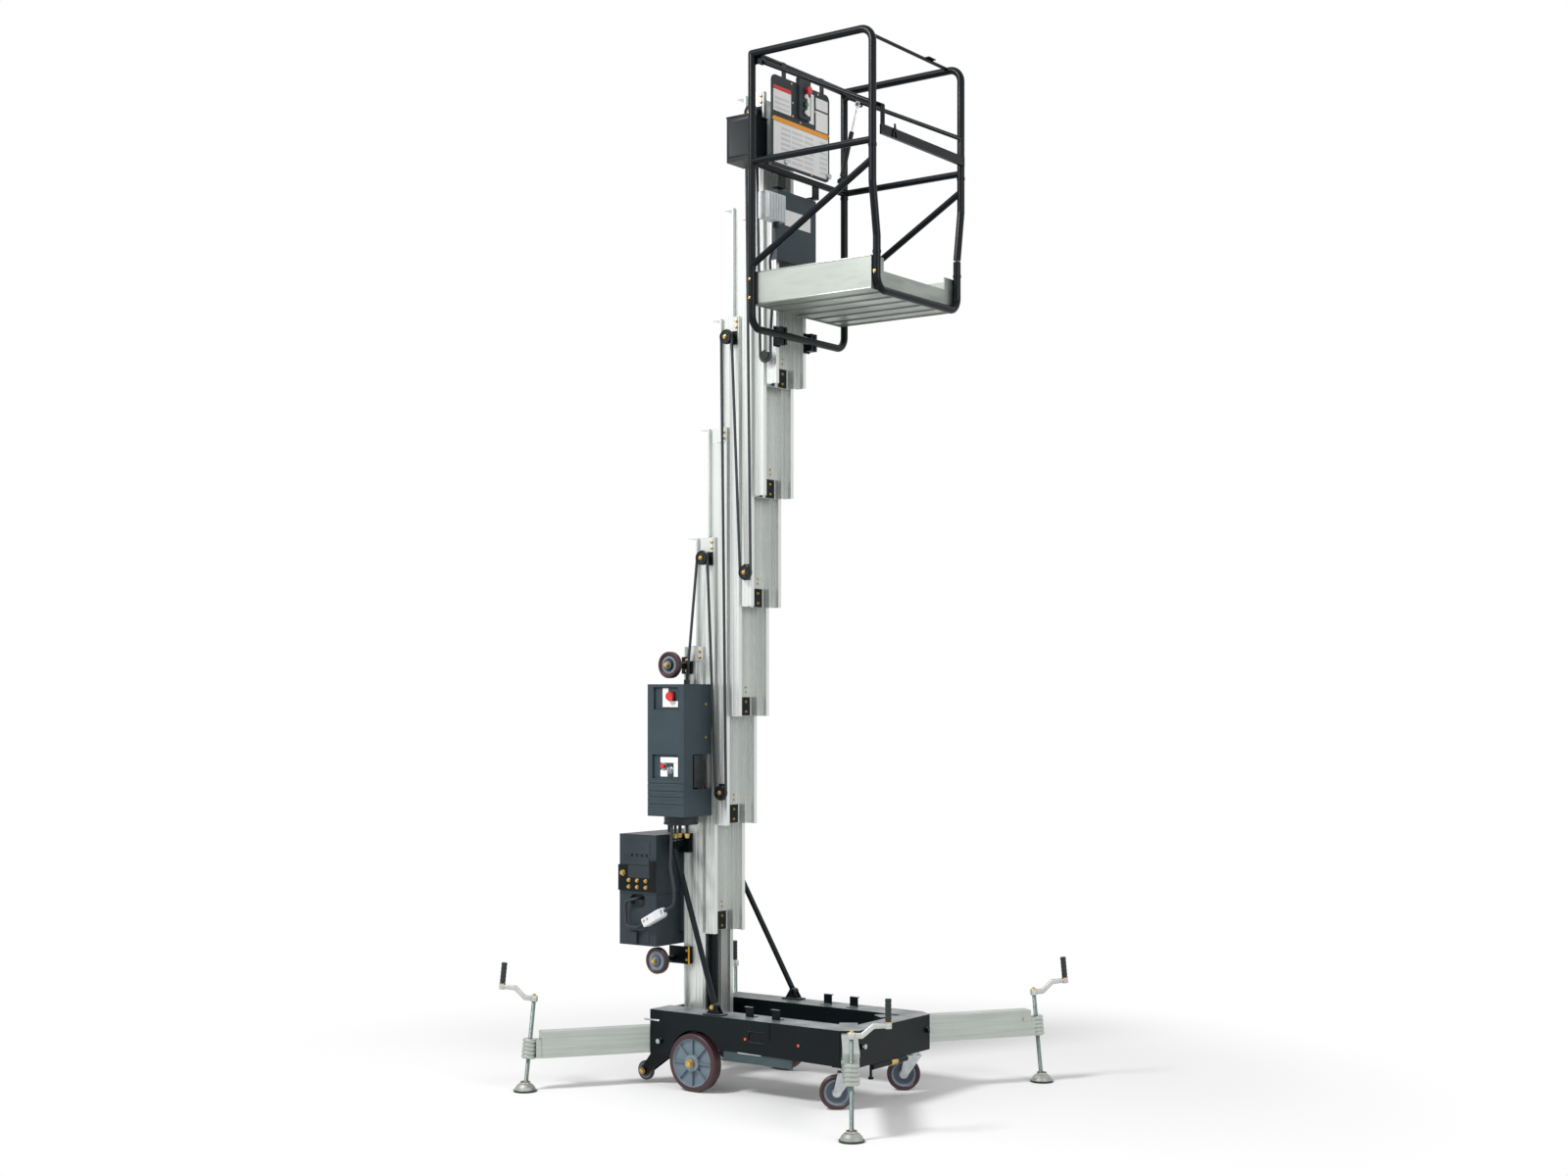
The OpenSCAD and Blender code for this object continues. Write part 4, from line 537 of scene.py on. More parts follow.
# %% [markdown]
# ## Finishes on the solids
# The record lists every solid with its material slot, and each slot gets its finish
# here. Wheels, outrigger beams and the cage's rails get theirs by name, because they
# differ from the rest of their slot.

# %% Dress the solids
by_slot = {
    "black_paint": black_paint, "mast_aluminium": mast_aluminium, "bare_aluminium": bare_aluminium,
    "slate_cover": slate_cover, "battery_cover": battery_cover, "power_unit": power_unit,
    "cable_rubber": cable_rubber, "bright_steel": bright_steel, "zinc_steel": zinc_steel,
    "cylinder_paint": cylinder_paint, "console_metal": console_metal,
    "black_plastic": black_plastic, "cast_aluminium": cast_aluminium, "foot_metal": foot_metal,
    "red_plastic": red_plastic, "white_plastic": white_plastic, "green_plastic": green_plastic}
slot_of = {part["node"]: part["material_slot"] for part in frame["record"]["subparts"]}
for name, solid in nodes.items():
    finish = wheel_finishes.get(name) or by_slot.get(slot_of.get(name), zinc_steel)
    if name.startswith("outrigger_beam"):
        finish = beam_metal
    if name in ("guardrail", "entry_gate"):
        finish = rail_paint
    solid.data.materials.clear()
    solid.data.materials.append(finish)
print(len(slot_of), "solids dressed")

# %% [markdown]
# ## Room
# The photograph is a cut-out on white with soft shadows on the floor. A large soft
# lamp stands to the left of the camera and high, where the shadows say it was. A
# weak one on the right and an even white world fill the rest. The floor is a plain
# pale disc that turns to the white of the background away from the machine, so no
# horizon shows.


# %% World
light_on_object = 0.47
world = bpy.data.worlds.new("white_room")
world.use_nodes = True
scene.world = world
room = world.node_tree
room.nodes.clear()
seen = add(room, "ShaderNodeLightPath", (-900, 200))
straight = add(room, "ShaderNodeMath", (-650, 200), operation="MAXIMUM")
mirrored = add(room, "ShaderNodeMath", (-450, 200), operation="MAXIMUM")
level = add(room, "ShaderNodeMapRange", (-250, 200),
            put={"To Min": light_on_object, "To Max": 1.0})
light = add(room, "ShaderNodeBackground", (0, 200), put={"Color": (1, 1, 1, 1)})
outlet = add(room, "ShaderNodeOutputWorld", (250, 200))
link(room, (seen, "Is Camera Ray", straight, 0), (seen, "Is Glossy Ray", straight, 1),
     (straight, 0, mirrored, 0), (seen, "Is Transmission Ray", mirrored, 1),
     (mirrored, 0, level, "Value"), (level, "Result", light, "Strength"),
     (light, "Background", outlet, "Surface"))
print("world strength", light_on_object, "on the object, 1 in the background")


# %% Lamps
def soft_lamp(name, place, target, size, power):
    """A round area lamp that looks at a target."""
    lamp = bpy.data.lights.new(name, "AREA")
    lamp.shape = "DISK"
    lamp.size = size
    lamp.energy = power
    holder = bpy.data.objects.new(name, lamp)
    holder.location = place
    holder.rotation_euler = (Vector(target) - Vector(place)).to_track_quat("-Z", "Y").to_euler()
    scene.collection.objects.link(holder)
    return holder


key_lamp = soft_lamp("key_lamp", (-1.8, -6.4, 7.5), (0.0, 0.0, 1.2), 2.2, 640)
fill_lamp = soft_lamp("fill_lamp", (6.5, -1.5, 4.5), (0.2, 0.0, 1.8), 3.0, 120)
print("lamps:", key_lamp.name, fill_lamp.name)

# %% Floor
fade_from, fade_to = 1.5, 3.2
start()
bpy.ops.mesh.primitive_circle_add(vertices=96, radius=30, fill_type="NGON", location=(0, 0, 0))
floor = settle("floor")
floor_finish, tree, shader = new_finish("floor", roughness=0.75)
where = add(tree, "ShaderNodeTexCoord", (-1100, 0))
far = add(tree, "ShaderNodeVectorMath", (-900, 0), operation="LENGTH")
fade = add(tree, "ShaderNodeMapRange", (-700, 0), interpolation_type="SMOOTHSTEP",
           put={"From Min": fade_from, "From Max": fade_to})
seen = add(tree, "ShaderNodeLightPath", (-700, 300))
straight = add(tree, "ShaderNodeMath", (-500, 300), operation="MAXIMUM")
glow = add(tree, "ShaderNodeEmission", (-300, -300), put={"Color": (1, 1, 1, 1), "Strength": 1.0})
shown = add(tree, "ShaderNodeMath", (-300, 100), operation="MULTIPLY")
blend_out = add(tree, "ShaderNodeMixShader", (200, 0))
shader.inputs["Base Color"].default_value = (0.93, 0.93, 0.93, 1)
link(tree, (where, "Object", far, 0), (far, "Value", fade, "Value"),
     (seen, "Is Camera Ray", straight, 0), (seen, "Is Glossy Ray", straight, 1),
     (fade, "Result", shown, 0), (straight, 0, shown, 1), (shown, 0, blend_out, "Fac"),
     (shader, "BSDF", blend_out, 1), (glow, "Emission", blend_out, 2),
     (blend_out, "Shader", tree.nodes["Material Output"], "Surface"))
floor.data.materials.append(floor_finish)
print("floor fades to white between", fade_from, "and", fade_to, "m from the middle")

# %% [markdown]
# ## Control cable
# The cable brings power to the platform. It leaves a gland on the power unit's
# cover and runs over a roller at the head of one section and under a roller at the
# foot of the next, so that its length stays the same at every height of the mast.
# Its bend over a roller belongs to the length that comes before.

# %% Rollers and the line of the cable
mast_rear_x, mast_foot_z = -0.518, 0.183
section_step, section_rise, section_length = 0.071, 0.508, 1.850
head_roller, foot_roller, hanger = (0.070, section_length - 0.096), (0.108, 0.154), (0.081, 0.125)
gland = (-0.469, 1.862)
roller_y, wrap_radius, hanger_radius = -0.150, 0.030, 0.0293
cable_width = 0.013


def section_corner(k):
    """Rear of section k and its lower end."""
    return mast_rear_x + (k - 1) * section_step, mast_foot_z + (k - 1) * section_rise


stops = []
for k in range(2, 8):
    x, z = section_corner(k)
    away_x, away_z = hanger if k == 7 else foot_roller if k % 2 else head_roller
    stops.append((x + away_x, z + away_z))
radii = [wrap_radius] * 5 + [hanger_radius]
headings = []
for i, (before, stop) in enumerate(zip([gland] + stops, stops)):
    reach = Vector(stop) - Vector(before)
    both = radii[i] + (radii[i - 1] if i else 0)
    crossing = math.asin(both / reach.length)
    headings.append(math.atan2(reach.y, reach.x) + (crossing if i % 2 == 0 else -crossing))
print("the cable heads", [round(math.degrees(h)) for h in headings])


# %% Points of each length
def on_roller(i, heading):
    """Where the cable's middle line touches roller i when it heads that way."""
    side = 1 if i % 2 == 0 else -1
    return (stops[i][0] - side * radii[i] * math.sin(heading), roller_y,
            stops[i][1] + side * radii[i] * math.cos(heading))


def between(a, b, count):
    """Evenly spaced points from a to b."""
    return [Vector(a).lerp(Vector(b), t / count) for t in range(count + 1)]


runs = []
for i, heading in enumerate(headings):
    first = Vector(on_roller(i - 1, heading) if i else (gland[0], roller_y, gland[1]))
    last = Vector(on_roller(i, heading))
    leave = math.pi / 2 if i == 5 else headings[i + 1]
    around = [Vector(on_roller(i, heading + (leave - heading) * t / 12)) for t in range(1, 13)]
    runs.append((first, last, between(first, last, 48) + around))
print("m between rollers:", [round((last - first).length, 3) for first, last, _ in runs])


# %% Tube along points
def tube(name, points, width, sides=12):
    """A round tube whose middle line is the points, as a mesh with closed ends."""
    line = bpy.data.curves.new(name, "CURVE")
    line.dimensions = "3D"
    line.bevel_depth = width / 2
    line.bevel_resolution = max(1, sides // 4 - 1)
    line.use_fill_caps = True
    spline = line.splines.new("POLY")
    spline.points.add(len(points) - 1)
    for point, place in zip(spline.points, points):
        point.co = (*place, 1)
    piece = bpy.data.objects.new(name, line)
    scene.collection.objects.link(piece)
    take(piece)
    bpy.ops.object.convert(target="MESH")
    return settle(name)


def run_length(points):
    """Length of a line through points."""
    return sum((Vector(b) - Vector(a)).length for a, b in zip(points, points[1:]))


def round_corners(route, bend, steps=6, straight=0.02):
    """A route with each inner corner rounded to a bend radius."""
    route = [Vector(p) for p in route]
    points = [route[0]]
    for before, here, after in zip(route, route[1:], route[2:]):
        a, b = (here - before).normalized(), (after - here).normalized()
        turn = a.angle(b)
        if turn < straight:
            points.append(here)
            continue
        back = bend * math.tan(turn / 2)
        side = (b - a * a.dot(b)).normalized()
        for k in range(steps + 1):
            t = turn * k / steps
            points.append(here - a * back + a * bend * math.sin(t)
                          + side * bend * (1 - math.cos(t)))
    return points + [route[-1]]


# %% The cable
cable_bodies = ["base"] + [f"section_{k}" for k in range(2, 7)] + ["carriage"]
for i, (first, last, points) in enumerate(runs):
    length = tube(f"cable_length_{i + 1}", points, cable_width)
    finish_piece(length, None, cable_rubber, smooth=50)
    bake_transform(length)
    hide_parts("control_cable")
rise_x = stops[5][0] + hanger_radius
rise = round_corners([runs[5][2][-1], (rise_x, roller_y, 3.440), (0.044, -0.175, 3.560),
                      (0.044, -0.190, 3.780), (0.085, -0.200, 3.860), (0.085, -0.200, 3.9157)],
                     0.060)
cable_rise = tube("cable_rise", rise, cable_width)
finish_piece(cable_rise, "carriage", cable_rubber, smooth=50)
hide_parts("control_cable")
whole = sum(run_length(points) for _, _, points in runs) + run_length(rise)
print("cable in", len(runs) + 1, "lengths,", round(whole, 2), "m in all")

# %% [markdown]
# ## Makers for small parts
# Small parts share a few makers. A block has rounded edges and may have one face
# inset and sunk, like a panel in its frame. A disc is turned, with a stepped face,
# and a ring is bridged between two circles. A part that comes back is modelled once,
# upright at the origin, and each place gets a copy with a mesh of its own.


# %% Block, disc and ring
def edit(piece):
    """Open one piece in edit mode with all of it selected."""
    take(piece)
    bpy.ops.object.mode_set(mode="EDIT")
    bpy.ops.mesh.select_all(action="SELECT")


def close():
    """Leave edit mode and hand back the piece that was open."""
    bpy.ops.object.mode_set(mode="OBJECT")
    return bpy.context.object


def block(name, low, high, edge=0.0015, facing=None, rim=0.004, sunk=0.0008):
    """A block between two corners; the face that looks along `facing` is inset and sunk."""
    low, high = Vector(low), Vector(high)
    start()
    bpy.ops.mesh.primitive_cube_add(size=1, location=(low + high) / 2)
    bpy.context.object.scale = high - low
    edit(settle(name))
    bpy.ops.mesh.bevel(offset=min(edge, 0.35 * min(high - low)), segments=2, affect="EDGES")
    if facing:
        way = Vector(facing)
        pick("faces", lambda face: face.normal.dot(way) > 0.99)
        bpy.ops.mesh.inset(thickness=rim)
        bpy.ops.transform.translate(value=-way * sunk)
    return close()


def disc(name, radius, depth, rim=0.0, sunk=0.0, vertices=32, edge=0.0008):
    """A turned part on the origin, along +Z, with rounded edges and a stepped face."""
    start()
    bpy.ops.mesh.primitive_cylinder_add(vertices=vertices, radius=radius, depth=depth,
                                        location=(0, 0, depth / 2))
    edit(settle(name))
    pick("edges", lambda part: part.calc_face_angle(0) > 1.1)
    bpy.ops.mesh.bevel(offset=edge, segments=2, affect="EDGES")
    if rim:
        pick("faces", lambda face: face.normal.z > 0.99)
        bpy.ops.mesh.inset(thickness=rim)
        bpy.ops.transform.translate(value=(0, 0, -sunk))
    return close()


def ring(name, outer, inner, depth, vertices=48, corners=48):
    """A flat ring on the origin along +Z; with few corners its outline is a polygon."""
    start()
    bpy.ops.mesh.primitive_circle_add(vertices=corners, radius=outer, rotation=(0, 0, math.pi / 4))
    edit(settle(name))
    bpy.ops.mesh.primitive_circle_add(vertices=vertices, radius=inner, location=(0, 0, 0))
    bpy.ops.mesh.select_all(action="SELECT")
    bpy.ops.mesh.bridge_edge_loops()
    bpy.ops.mesh.select_all(action="SELECT")
    bpy.ops.mesh.extrude_region_move(TRANSFORM_OT_translate={"value": (0, 0, depth)})
    bpy.ops.mesh.select_all(action="SELECT")
    bpy.ops.mesh.normals_make_consistent(inside=False)
    return close()


# %% Copies
def stand(at, axis=(0, 0, 1), size=1.0):
    """The place of a part that stands at a point along an axis."""
    turn = Vector(axis).to_track_quat("Z", "Y").to_matrix().to_4x4()
    return Matrix.Translation(Vector(at)) @ turn @ Matrix.Scale(size, 4)


def joined(name, parts):
    """Several parts as one piece."""
    start()
    for part in parts:
        part.select_set(True)
    bpy.context.view_layer.objects.active = parts[0]
    if len(parts) > 1:
        bpy.ops.object.join()
    return settle(name)


def copies(master, name, places):
    """Copies of a master at several places, joined into one piece."""
    twins = []
    for place in places:
        twin = bpy.data.objects.new(name, master.data.copy())
        scene.collection.objects.link(twin)
        twin.matrix_world = place
        twins.append(twin)
    start()
    for twin in twins:
        twin.select_set(True)
    bpy.context.view_layer.objects.active = twins[0]
    bpy.ops.object.transform_apply(location=True, rotation=True, scale=True)
    return joined(name, twins)


def meets(node, point, way, away=0.25):
    """Where a ray that comes in against `way` through a point meets a solid."""
    hit, place, _, _ = nodes[node].ray_cast(Vector(point) + Vector(way) * away, -Vector(way))
    if not hit:
        raise ValueError(f"no surface of {node} at {tuple(point)}")
    return place


masters = []


def model_bolt():
    """A hexagon head on its washer, 10 mm across the flats."""
    washer = disc("bolt_washer", 0.0075, 0.0014, rim=0.0016, sunk=0.0004, vertices=24, edge=0.0003)
    head = disc("bolt_head", 0.0058, 0.0056, rim=0.0016, sunk=-0.0005, vertices=6, edge=0.0004)
    head.location.z = 0.001
    return joined("bolt", [washer, head])


def model_screw():
    """A low round head with a socket, 10 mm wide."""
    return disc("screw", 0.005, 0.0022, rim=0.0024, sunk=0.0012, vertices=20, edge=0.0007)


bolt, screw = model_bolt(), model_screw()
masters += [bolt, screw]


def fasten(name, places, body, head=bolt):
    """Gold zinc bolts or screws of one body as one piece."""
    return finish_piece(copies(head, name, places), body, gold_zinc)


print("bolt:", len(bolt.data.polygons), "faces; screw:", len(screw.data.polygons))

# %% Finishes for plates and trim
white_plate = grained("white_plate", paint(238, 238, 236), paint(226, 227, 226), 600, 0.3, 0.45,
                      0.03, tone_scale=30, amount=0.5, dust_and_sheen=0.0)
orange_band = grained("orange_band", paint(240, 160, 40), paint(226, 146, 34), 600, 0.3, 0.42,
                      0.03, dust_and_sheen=0.0)
red_band = grained("red_band", paint(214, 40, 44), paint(196, 32, 38), 600, 0.3, 0.42, 0.03,
                   dust_and_sheen=0.0)
pale_plastic = grained("pale_plastic", paint(214, 218, 220), paint(196, 202, 206), 900, 0.35,
                       0.5, 0.12, tone_scale=20, dust_and_sheen=0.1)
black_rubber = grained("black_rubber", paint(18, 24, 26), paint(28, 34, 37), 800, 0.4, 0.6, 0.3,
                       tone_scale=30, dust_and_sheen=0.15)
orange_plug = grained("orange_plug", paint(238, 84, 44), paint(220, 70, 36), 500, 0.3, 0.4, 0.04,
                      dust_and_sheen=0.0)
print("plates and trim:", white_plate.name, orange_band.name, pale_plastic.name)

# %% [markdown]
# ## Screw jacks
# A jack is what the eye meets first at each corner: a threaded screw, a cast arm with
# a crank's double bend and a black grip. The solid crank gives way to these parts.
# The thread is one tooth that an Array modifier repeats. They are made upright with
# the arm along X, and each corner's matrix leans and turns them as in the solids.

# %% Places of the jacks
foot_x, foot_y, splay, lean = 0.897, 0.793, 55.0, 5.6
crank_height, crank_arm, crank_rise = 0.424, 0.150, 0.040
foot_top, boss_half = 0.0436, 0.011
corners = {"front_right": (1, -1, -splay, 91), "front_left": (1, 1, splay, -19),
           "rear_right": (-1, -1, splay - 180, -19), "rear_left": (-1, 1, 180 - splay, 181)}


def turned(angle, axis):
    """A turn about an axis, in degrees."""
    return Matrix.Rotation(math.radians(angle), 4, axis)


jack_places = {}
for corner, (side_x, side_y, heading, turn) in corners.items():
    jack_places[corner] = (Matrix.Translation((side_x * foot_x, side_y * foot_y, 0))
                           @ turned(heading, "Z") @ turned(-lean, "Y") @ turned(turn, "Z"))
print("jacks at", list(jack_places))


# %% Threaded screw
def model_thread(low, high, peak, valley, pitch):
    """One tooth of a thread, repeated from low to high."""
    start()
    bpy.ops.mesh.primitive_cylinder_add(vertices=24, radius=valley, depth=pitch,
                                        end_fill_type="NOTHING", location=(0, 0, low + pitch / 2))
    edit(settle("thread"))
    pick("edges", lambda part: abs(part.verts[0].co.z - part.verts[1].co.z) > pitch / 2)
    bpy.ops.mesh.subdivide(number_cuts=1)
    pick("verts", lambda part: abs(part.co.z - low - pitch / 2) < pitch / 10)
    bpy.ops.transform.resize(value=(peak / valley, peak / valley, 1),
                             center_override=(0, 0, low + pitch / 2))
    piece = close()
    rows = piece.modifiers.new("rows", "ARRAY")
    rows.count = int((high - low) / pitch)
    rows.use_relative_offset = False
    rows.use_constant_offset = True
    rows.constant_offset_displace = (0, 0, pitch)
    rows.use_merge_vertices = True
    bpy.ops.object.modifier_apply(modifier="rows")
    return piece


thread = model_thread(0.0125, 0.412, 0.0100, 0.0086, 0.005)
masters.append(thread)
print("thread:", len(thread.data.polygons), "faces")


# %% Cast arm and grip
def model_arm():
    """The arm's side outline, filled, thickened and rounded, with its two bosses."""
    outline = [(0, -0.012), (0.045, -0.012), (0.093, 0.028), (0.150, 0.031), (0.150, 0.049),
               (0.087, 0.051), (0.039, 0.011), (0, 0.011)]
    mesh = bpy.data.meshes.new("arm")
    mesh.from_pydata([(x, 0.010, crank_height + z) for x, z in outline], [],
                     [list(range(len(outline)))])
    arm = bpy.data.objects.new("arm", mesh)
    scene.collection.objects.link(arm)
    edit(arm)
    bpy.ops.mesh.extrude_region_move(TRANSFORM_OT_translate={"value": (0, -0.020, 0)})
    bpy.ops.mesh.select_all(action="SELECT")
    bpy.ops.mesh.normals_make_consistent(inside=False)
    bpy.ops.mesh.bevel(offset=0.004, segments=3, affect="EDGES")
    close()
    hub = disc("hub", 0.0172, 0.027, rim=0.004, sunk=0.0015, edge=0.002)
    hub.location.z = crank_height - 0.0145
    boss = disc("boss", 0.0142, 0.025, rim=0.003, sunk=0.001, edge=0.002)
    boss.location = (crank_arm, 0, crank_height + crank_rise - 0.0125)
    return joined("arm", [arm, hub, boss])


def model_grip():
    """A soft grip with ring grooves on its pin."""
    length, cuts = 0.096, 15
    start()
    bpy.ops.mesh.primitive_cylinder_add(vertices=28, radius=0.0132, depth=length,
                                        location=(0, 0, length / 2))
    edit(settle("grip"))
    pick("edges", lambda part: abs(part.verts[0].co.z - part.verts[1].co.z) > 0.05)
    bpy.ops.mesh.subdivide(number_cuts=cuts)
    for step in range(1, cuts + 1, 3):
        groove = step * length / (cuts + 1)
        pick("verts", lambda part: abs(part.co.z - groove) < 0.001)
        bpy.ops.transform.resize(value=(0.9, 0.9, 1), center_override=(0, 0, 0))
    pick("edges", lambda part: part.calc_face_angle(0) > 1.1)
    bpy.ops.mesh.bevel(offset=0.003, segments=3, affect="EDGES")
    grip = close()
    grip.location = (crank_arm, 0, crank_height + crank_rise + 0.014)
    return settle("grip")


arm, grip = model_arm(), model_grip()
masters += [arm, grip]
print("arm:", len(arm.data.polygons), "faces; grip:", len(grip.data.polygons))

# %% Set the jacks up
hub_bolt = Matrix.Translation((0, 0, crank_height + boss_half)) @ Matrix.Scale(1.5, 4)
collar = ring("collar", 0.0150, 0.0098, 0.004)
foot_ring = ring("foot_ring", 0.0528, 0.0490, 0.0085)
rust_ring = ring("rust_ring", 0.0225, 0.0104, 0.0020)
masters += [collar, foot_ring, rust_ring]
rust = grained("rusty_ring", paint(122, 82, 58), paint(92, 66, 52), 300, 0.6, 0.8, 0.4,
               tone_scale=60)
pin = Matrix.Translation((crank_arm, 0, crank_height + crank_rise + boss_half))
for corner, place in jack_places.items():
    body = f"jack_crank_{corner}"
    shaft = finish_piece(copies(thread, f"screw_{corner}", [place]), body,
                         screw_steel, smooth=20)
    finish_piece(copies(arm, f"crank_arm_{corner}", [place]), body, cast_aluminium)
    finish_piece(copies(grip, f"crank_grip_{corner}", [place]), body,
                 black_rubber, smooth=50)
    fasten(f"crank_bolt_{corner}", [place @ hub_bolt], body)
    fasten(f"crank_collar_{corner}", [place @ pin], body, head=collar)
    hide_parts(f"jack_crank_{corner}")
    side_x, side_y = corners[corner][:2]
    for part, kind, z, finish in ((foot_ring, "rubber", 0.0004, black_rubber),
                                  (rust_ring, "rust", foot_top, rust)):
        spot = Matrix.Translation((side_x * foot_x, side_y * foot_y, z))
        finish_piece(copies(part, f"foot_{kind}_{corner}", [spot]), f"jack_foot_{corner}",
                     finish)
print("4 jacks dressed")

# %% [markdown]
# ## Bolts by body
# Gold zinc bolts mark where the machine is put together. A bolt rides on the body
# that it holds, so bolts of one body are one piece. Where the solid under a bolt is
# sloped or deep, a ray finds the surface.

# %% Bolts of the mast
forward, near_way, far_way = (1, 0, 0), (0, -1, 0), (0, 1, 0)
mast_side_y = 0.1219
pad_bolts = ((0.0326, 0.021, 0.9), (0.0326, 0.067, 0.9), (0.0330, 0.112, 0.7),
             (0.0330, 0.134, 0.7))
for k, body in enumerate(cable_bodies, start=1):
    x, z = section_corner(k)
    places = []
    if k > 1:
        for y in (-0.047, 0.047):
            places += [stand((x + out, y, z + up), forward, size) for out, up, size in pad_bolts]
        pads = []
        for low, high in ((-0.0812, -0.0128), (0.0128, 0.0812)):
            pads.append(block("pad", (x + 0.0316, low, z + 0.002), (x + 0.0329, high, z + 0.0888),
                              0.0004, forward, 0.004, 0.0005))
        finish_piece(joined(f"slide_pads_{k}", pads), body, black_plastic)
    if k < 7:
        for drop in (0.022, 0.050):
            places += [stand((x + 0.104, side * mast_side_y, z + section_length - drop),
                             (0, side, 0), 1.05) for side in (-1, 1)]
    finish_piece(copies(bolt, f"mast_bolts_{k}", places), body, gold_zinc)


# %% Roller faces
def model_roller_face():
    """A ring with a cross of ribs for the outside of a cable roller."""
    parts = [ring("face", 0.0315, 0.0250, 0.0022)]
    for angle in (45, 135):
        rib = block("rib", (-0.0262, -0.0032, 0.0), (0.0262, 0.0032, 0.0018), edge=0.0006)
        rib.matrix_world = turned(angle, "Z")
        parts.append(rib)
    parts.append(disc("eye", 0.0110, 0.0026, rim=0.0022, sunk=0.0006, edge=0.0006))
    return joined("roller_face", parts)


roller_face = model_roller_face()
masters.append(roller_face)
roller_side_y = -0.1590
for k, (x, z) in enumerate(stops[:5], start=2):
    body = f"section_{k}"
    face = stand((x, roller_side_y, z), near_way)
    head = stand((x, roller_side_y - 0.0020, z), near_way, 1.35)
    finish_piece(copies(roller_face, f"roller_face_{k}", [face]), body,
                 black_plastic)
    fasten(f"roller_bolt_{k}", [head], body)
    corner, _ = section_corner(k)
    plate = block(f"roller_plate_{k}", (corner + 0.074, -0.1212, z - 0.034),
                  (corner + 0.110, -0.1177, z + 0.040), facing=near_way, rim=0.003, sunk=0.0006)
    finish_piece(plate, body, black_plastic)
print("5 roller faces")

# %% Bolts of the base
places = []
for node, x, y, z, size in (
        ("chassis_frame", -0.270, 0.39, 0.132, 2.6), ("chassis_frame", -0.590, 0.33, 0.058, 2.0),
        ("mast_braces", -0.501, 0.26, 1.946, 1.7), ("mast_braces", -0.576, 0.26, 0.562, 1.7),
        ("mast_braces", -0.180, 0.33, 0.390, 1.5)):
    for side in (-1, 1):
        way = (0, side, 0)
        places.append(stand(meets(node, (x, side * y, z), way), way, size))
fasten("base_bolts", places, "base")
band_side_y = 0.2862
places = []
for side in (-1, 1):
    for x in (-0.708, -0.657, -0.605):
        places += [stand((x, side * band_side_y, z), (0, side, 0), 1.3) for z in (0.905, 0.936)]
    places.append(stand((-0.744, side * band_side_y, 0.969), (0, side, 0), 1.9))
fasten("battery_bolts", places, "base")
print("base and battery bolts")

# %% Battery box trim
band_rear, band_front = -0.7745, -0.5478
band = []
for side in (-1, 1):
    low_y, high_y = sorted((side * 0.2838, side * 0.2868))
    band.append(block("band", (band_rear, low_y, 0.886), (band_front, high_y, 0.950),
                      facing=(0, side, 0), rim=0.005, sunk=0.0005))
    band.append(block("tab", (band_rear, low_y, 0.945), (-0.7180, high_y, 1.008), edge=0.0012))
    band.append(block("tab", (-0.5860, low_y, 0.945), (band_front, high_y, 1.032), edge=0.0012))
finish_piece(joined("battery_band", band), "base", black_paint)
panels = []
for side in (-1, 1):
    low_y, high_y = sorted((side * 0.2798, side * 0.2822))
    for low_x, high_x, low_z, high_z in ((-0.742, -0.585, 1.060, 1.125),
                                         (-0.742, -0.590, 1.010, 1.048),
                                         (-0.735, -0.590, 0.645, 0.700)):
        panels.append(block("panel", (low_x, low_y, low_z), (high_x, high_y, high_z), 0.001,
                            (0, side, 0), 0.006, 0.0016))
panel_half_width = 0.080
for y in (-0.190, 0.0, 0.190):
    low_y, high_y = y - panel_half_width, y + panel_half_width
    for low_z, high_z in ((1.030, 1.125), (0.660, 0.860)):
        panels.append(block("panel", (-0.7724, low_y, low_z), (-0.7698, high_y, high_z), 0.001,
                            (-1, 0, 0), 0.008, 0.0018))
finish_piece(joined("battery_panels", panels), "base", battery_cover)
seam = block("battery_seam", (-0.7712, -0.2806, 0.8705), (-0.5472, 0.2806, 0.8735), edge=0.0005)
finish_piece(seam, "base", black_plastic)
print("battery band, panels and seam")

# %% Battery plug and leads
plug_at, plug_length, plug_tilt = Vector((-0.536, -0.306, 0.774)), 0.136, 28
plug_way = Vector((math.cos(math.radians(plug_tilt)), 0, math.sin(math.radians(plug_tilt))))


def plug_end(side, beyond):
    """A point on the plug's middle line, beyond one of its ends."""
    return plug_at + side * (plug_length / 2 + beyond) * plug_way


def model_plug():
    """The two halves of a battery plug as one body, with a bow and a lip for the leads."""
    parts = [block("plug", (-0.066, -0.020, -0.021), (0.052, 0.0256, 0.021), 0.004, near_way,
                   0.006, 0.0012)]
    for z in (-0.0150, 0.0150):
        parts.append(block("bow", (0.048, -0.012, z - 0.004), (0.067, 0.012, z + 0.004), 0.002))
    parts.append(block("bridge", (0.061, -0.012, -0.018), (0.068, 0.012, 0.018), 0.002))
    parts.append(block("lip", (-0.068, -0.018, -0.018), (-0.060, 0.018, 0.018), 0.002))
    return joined("plug", parts)


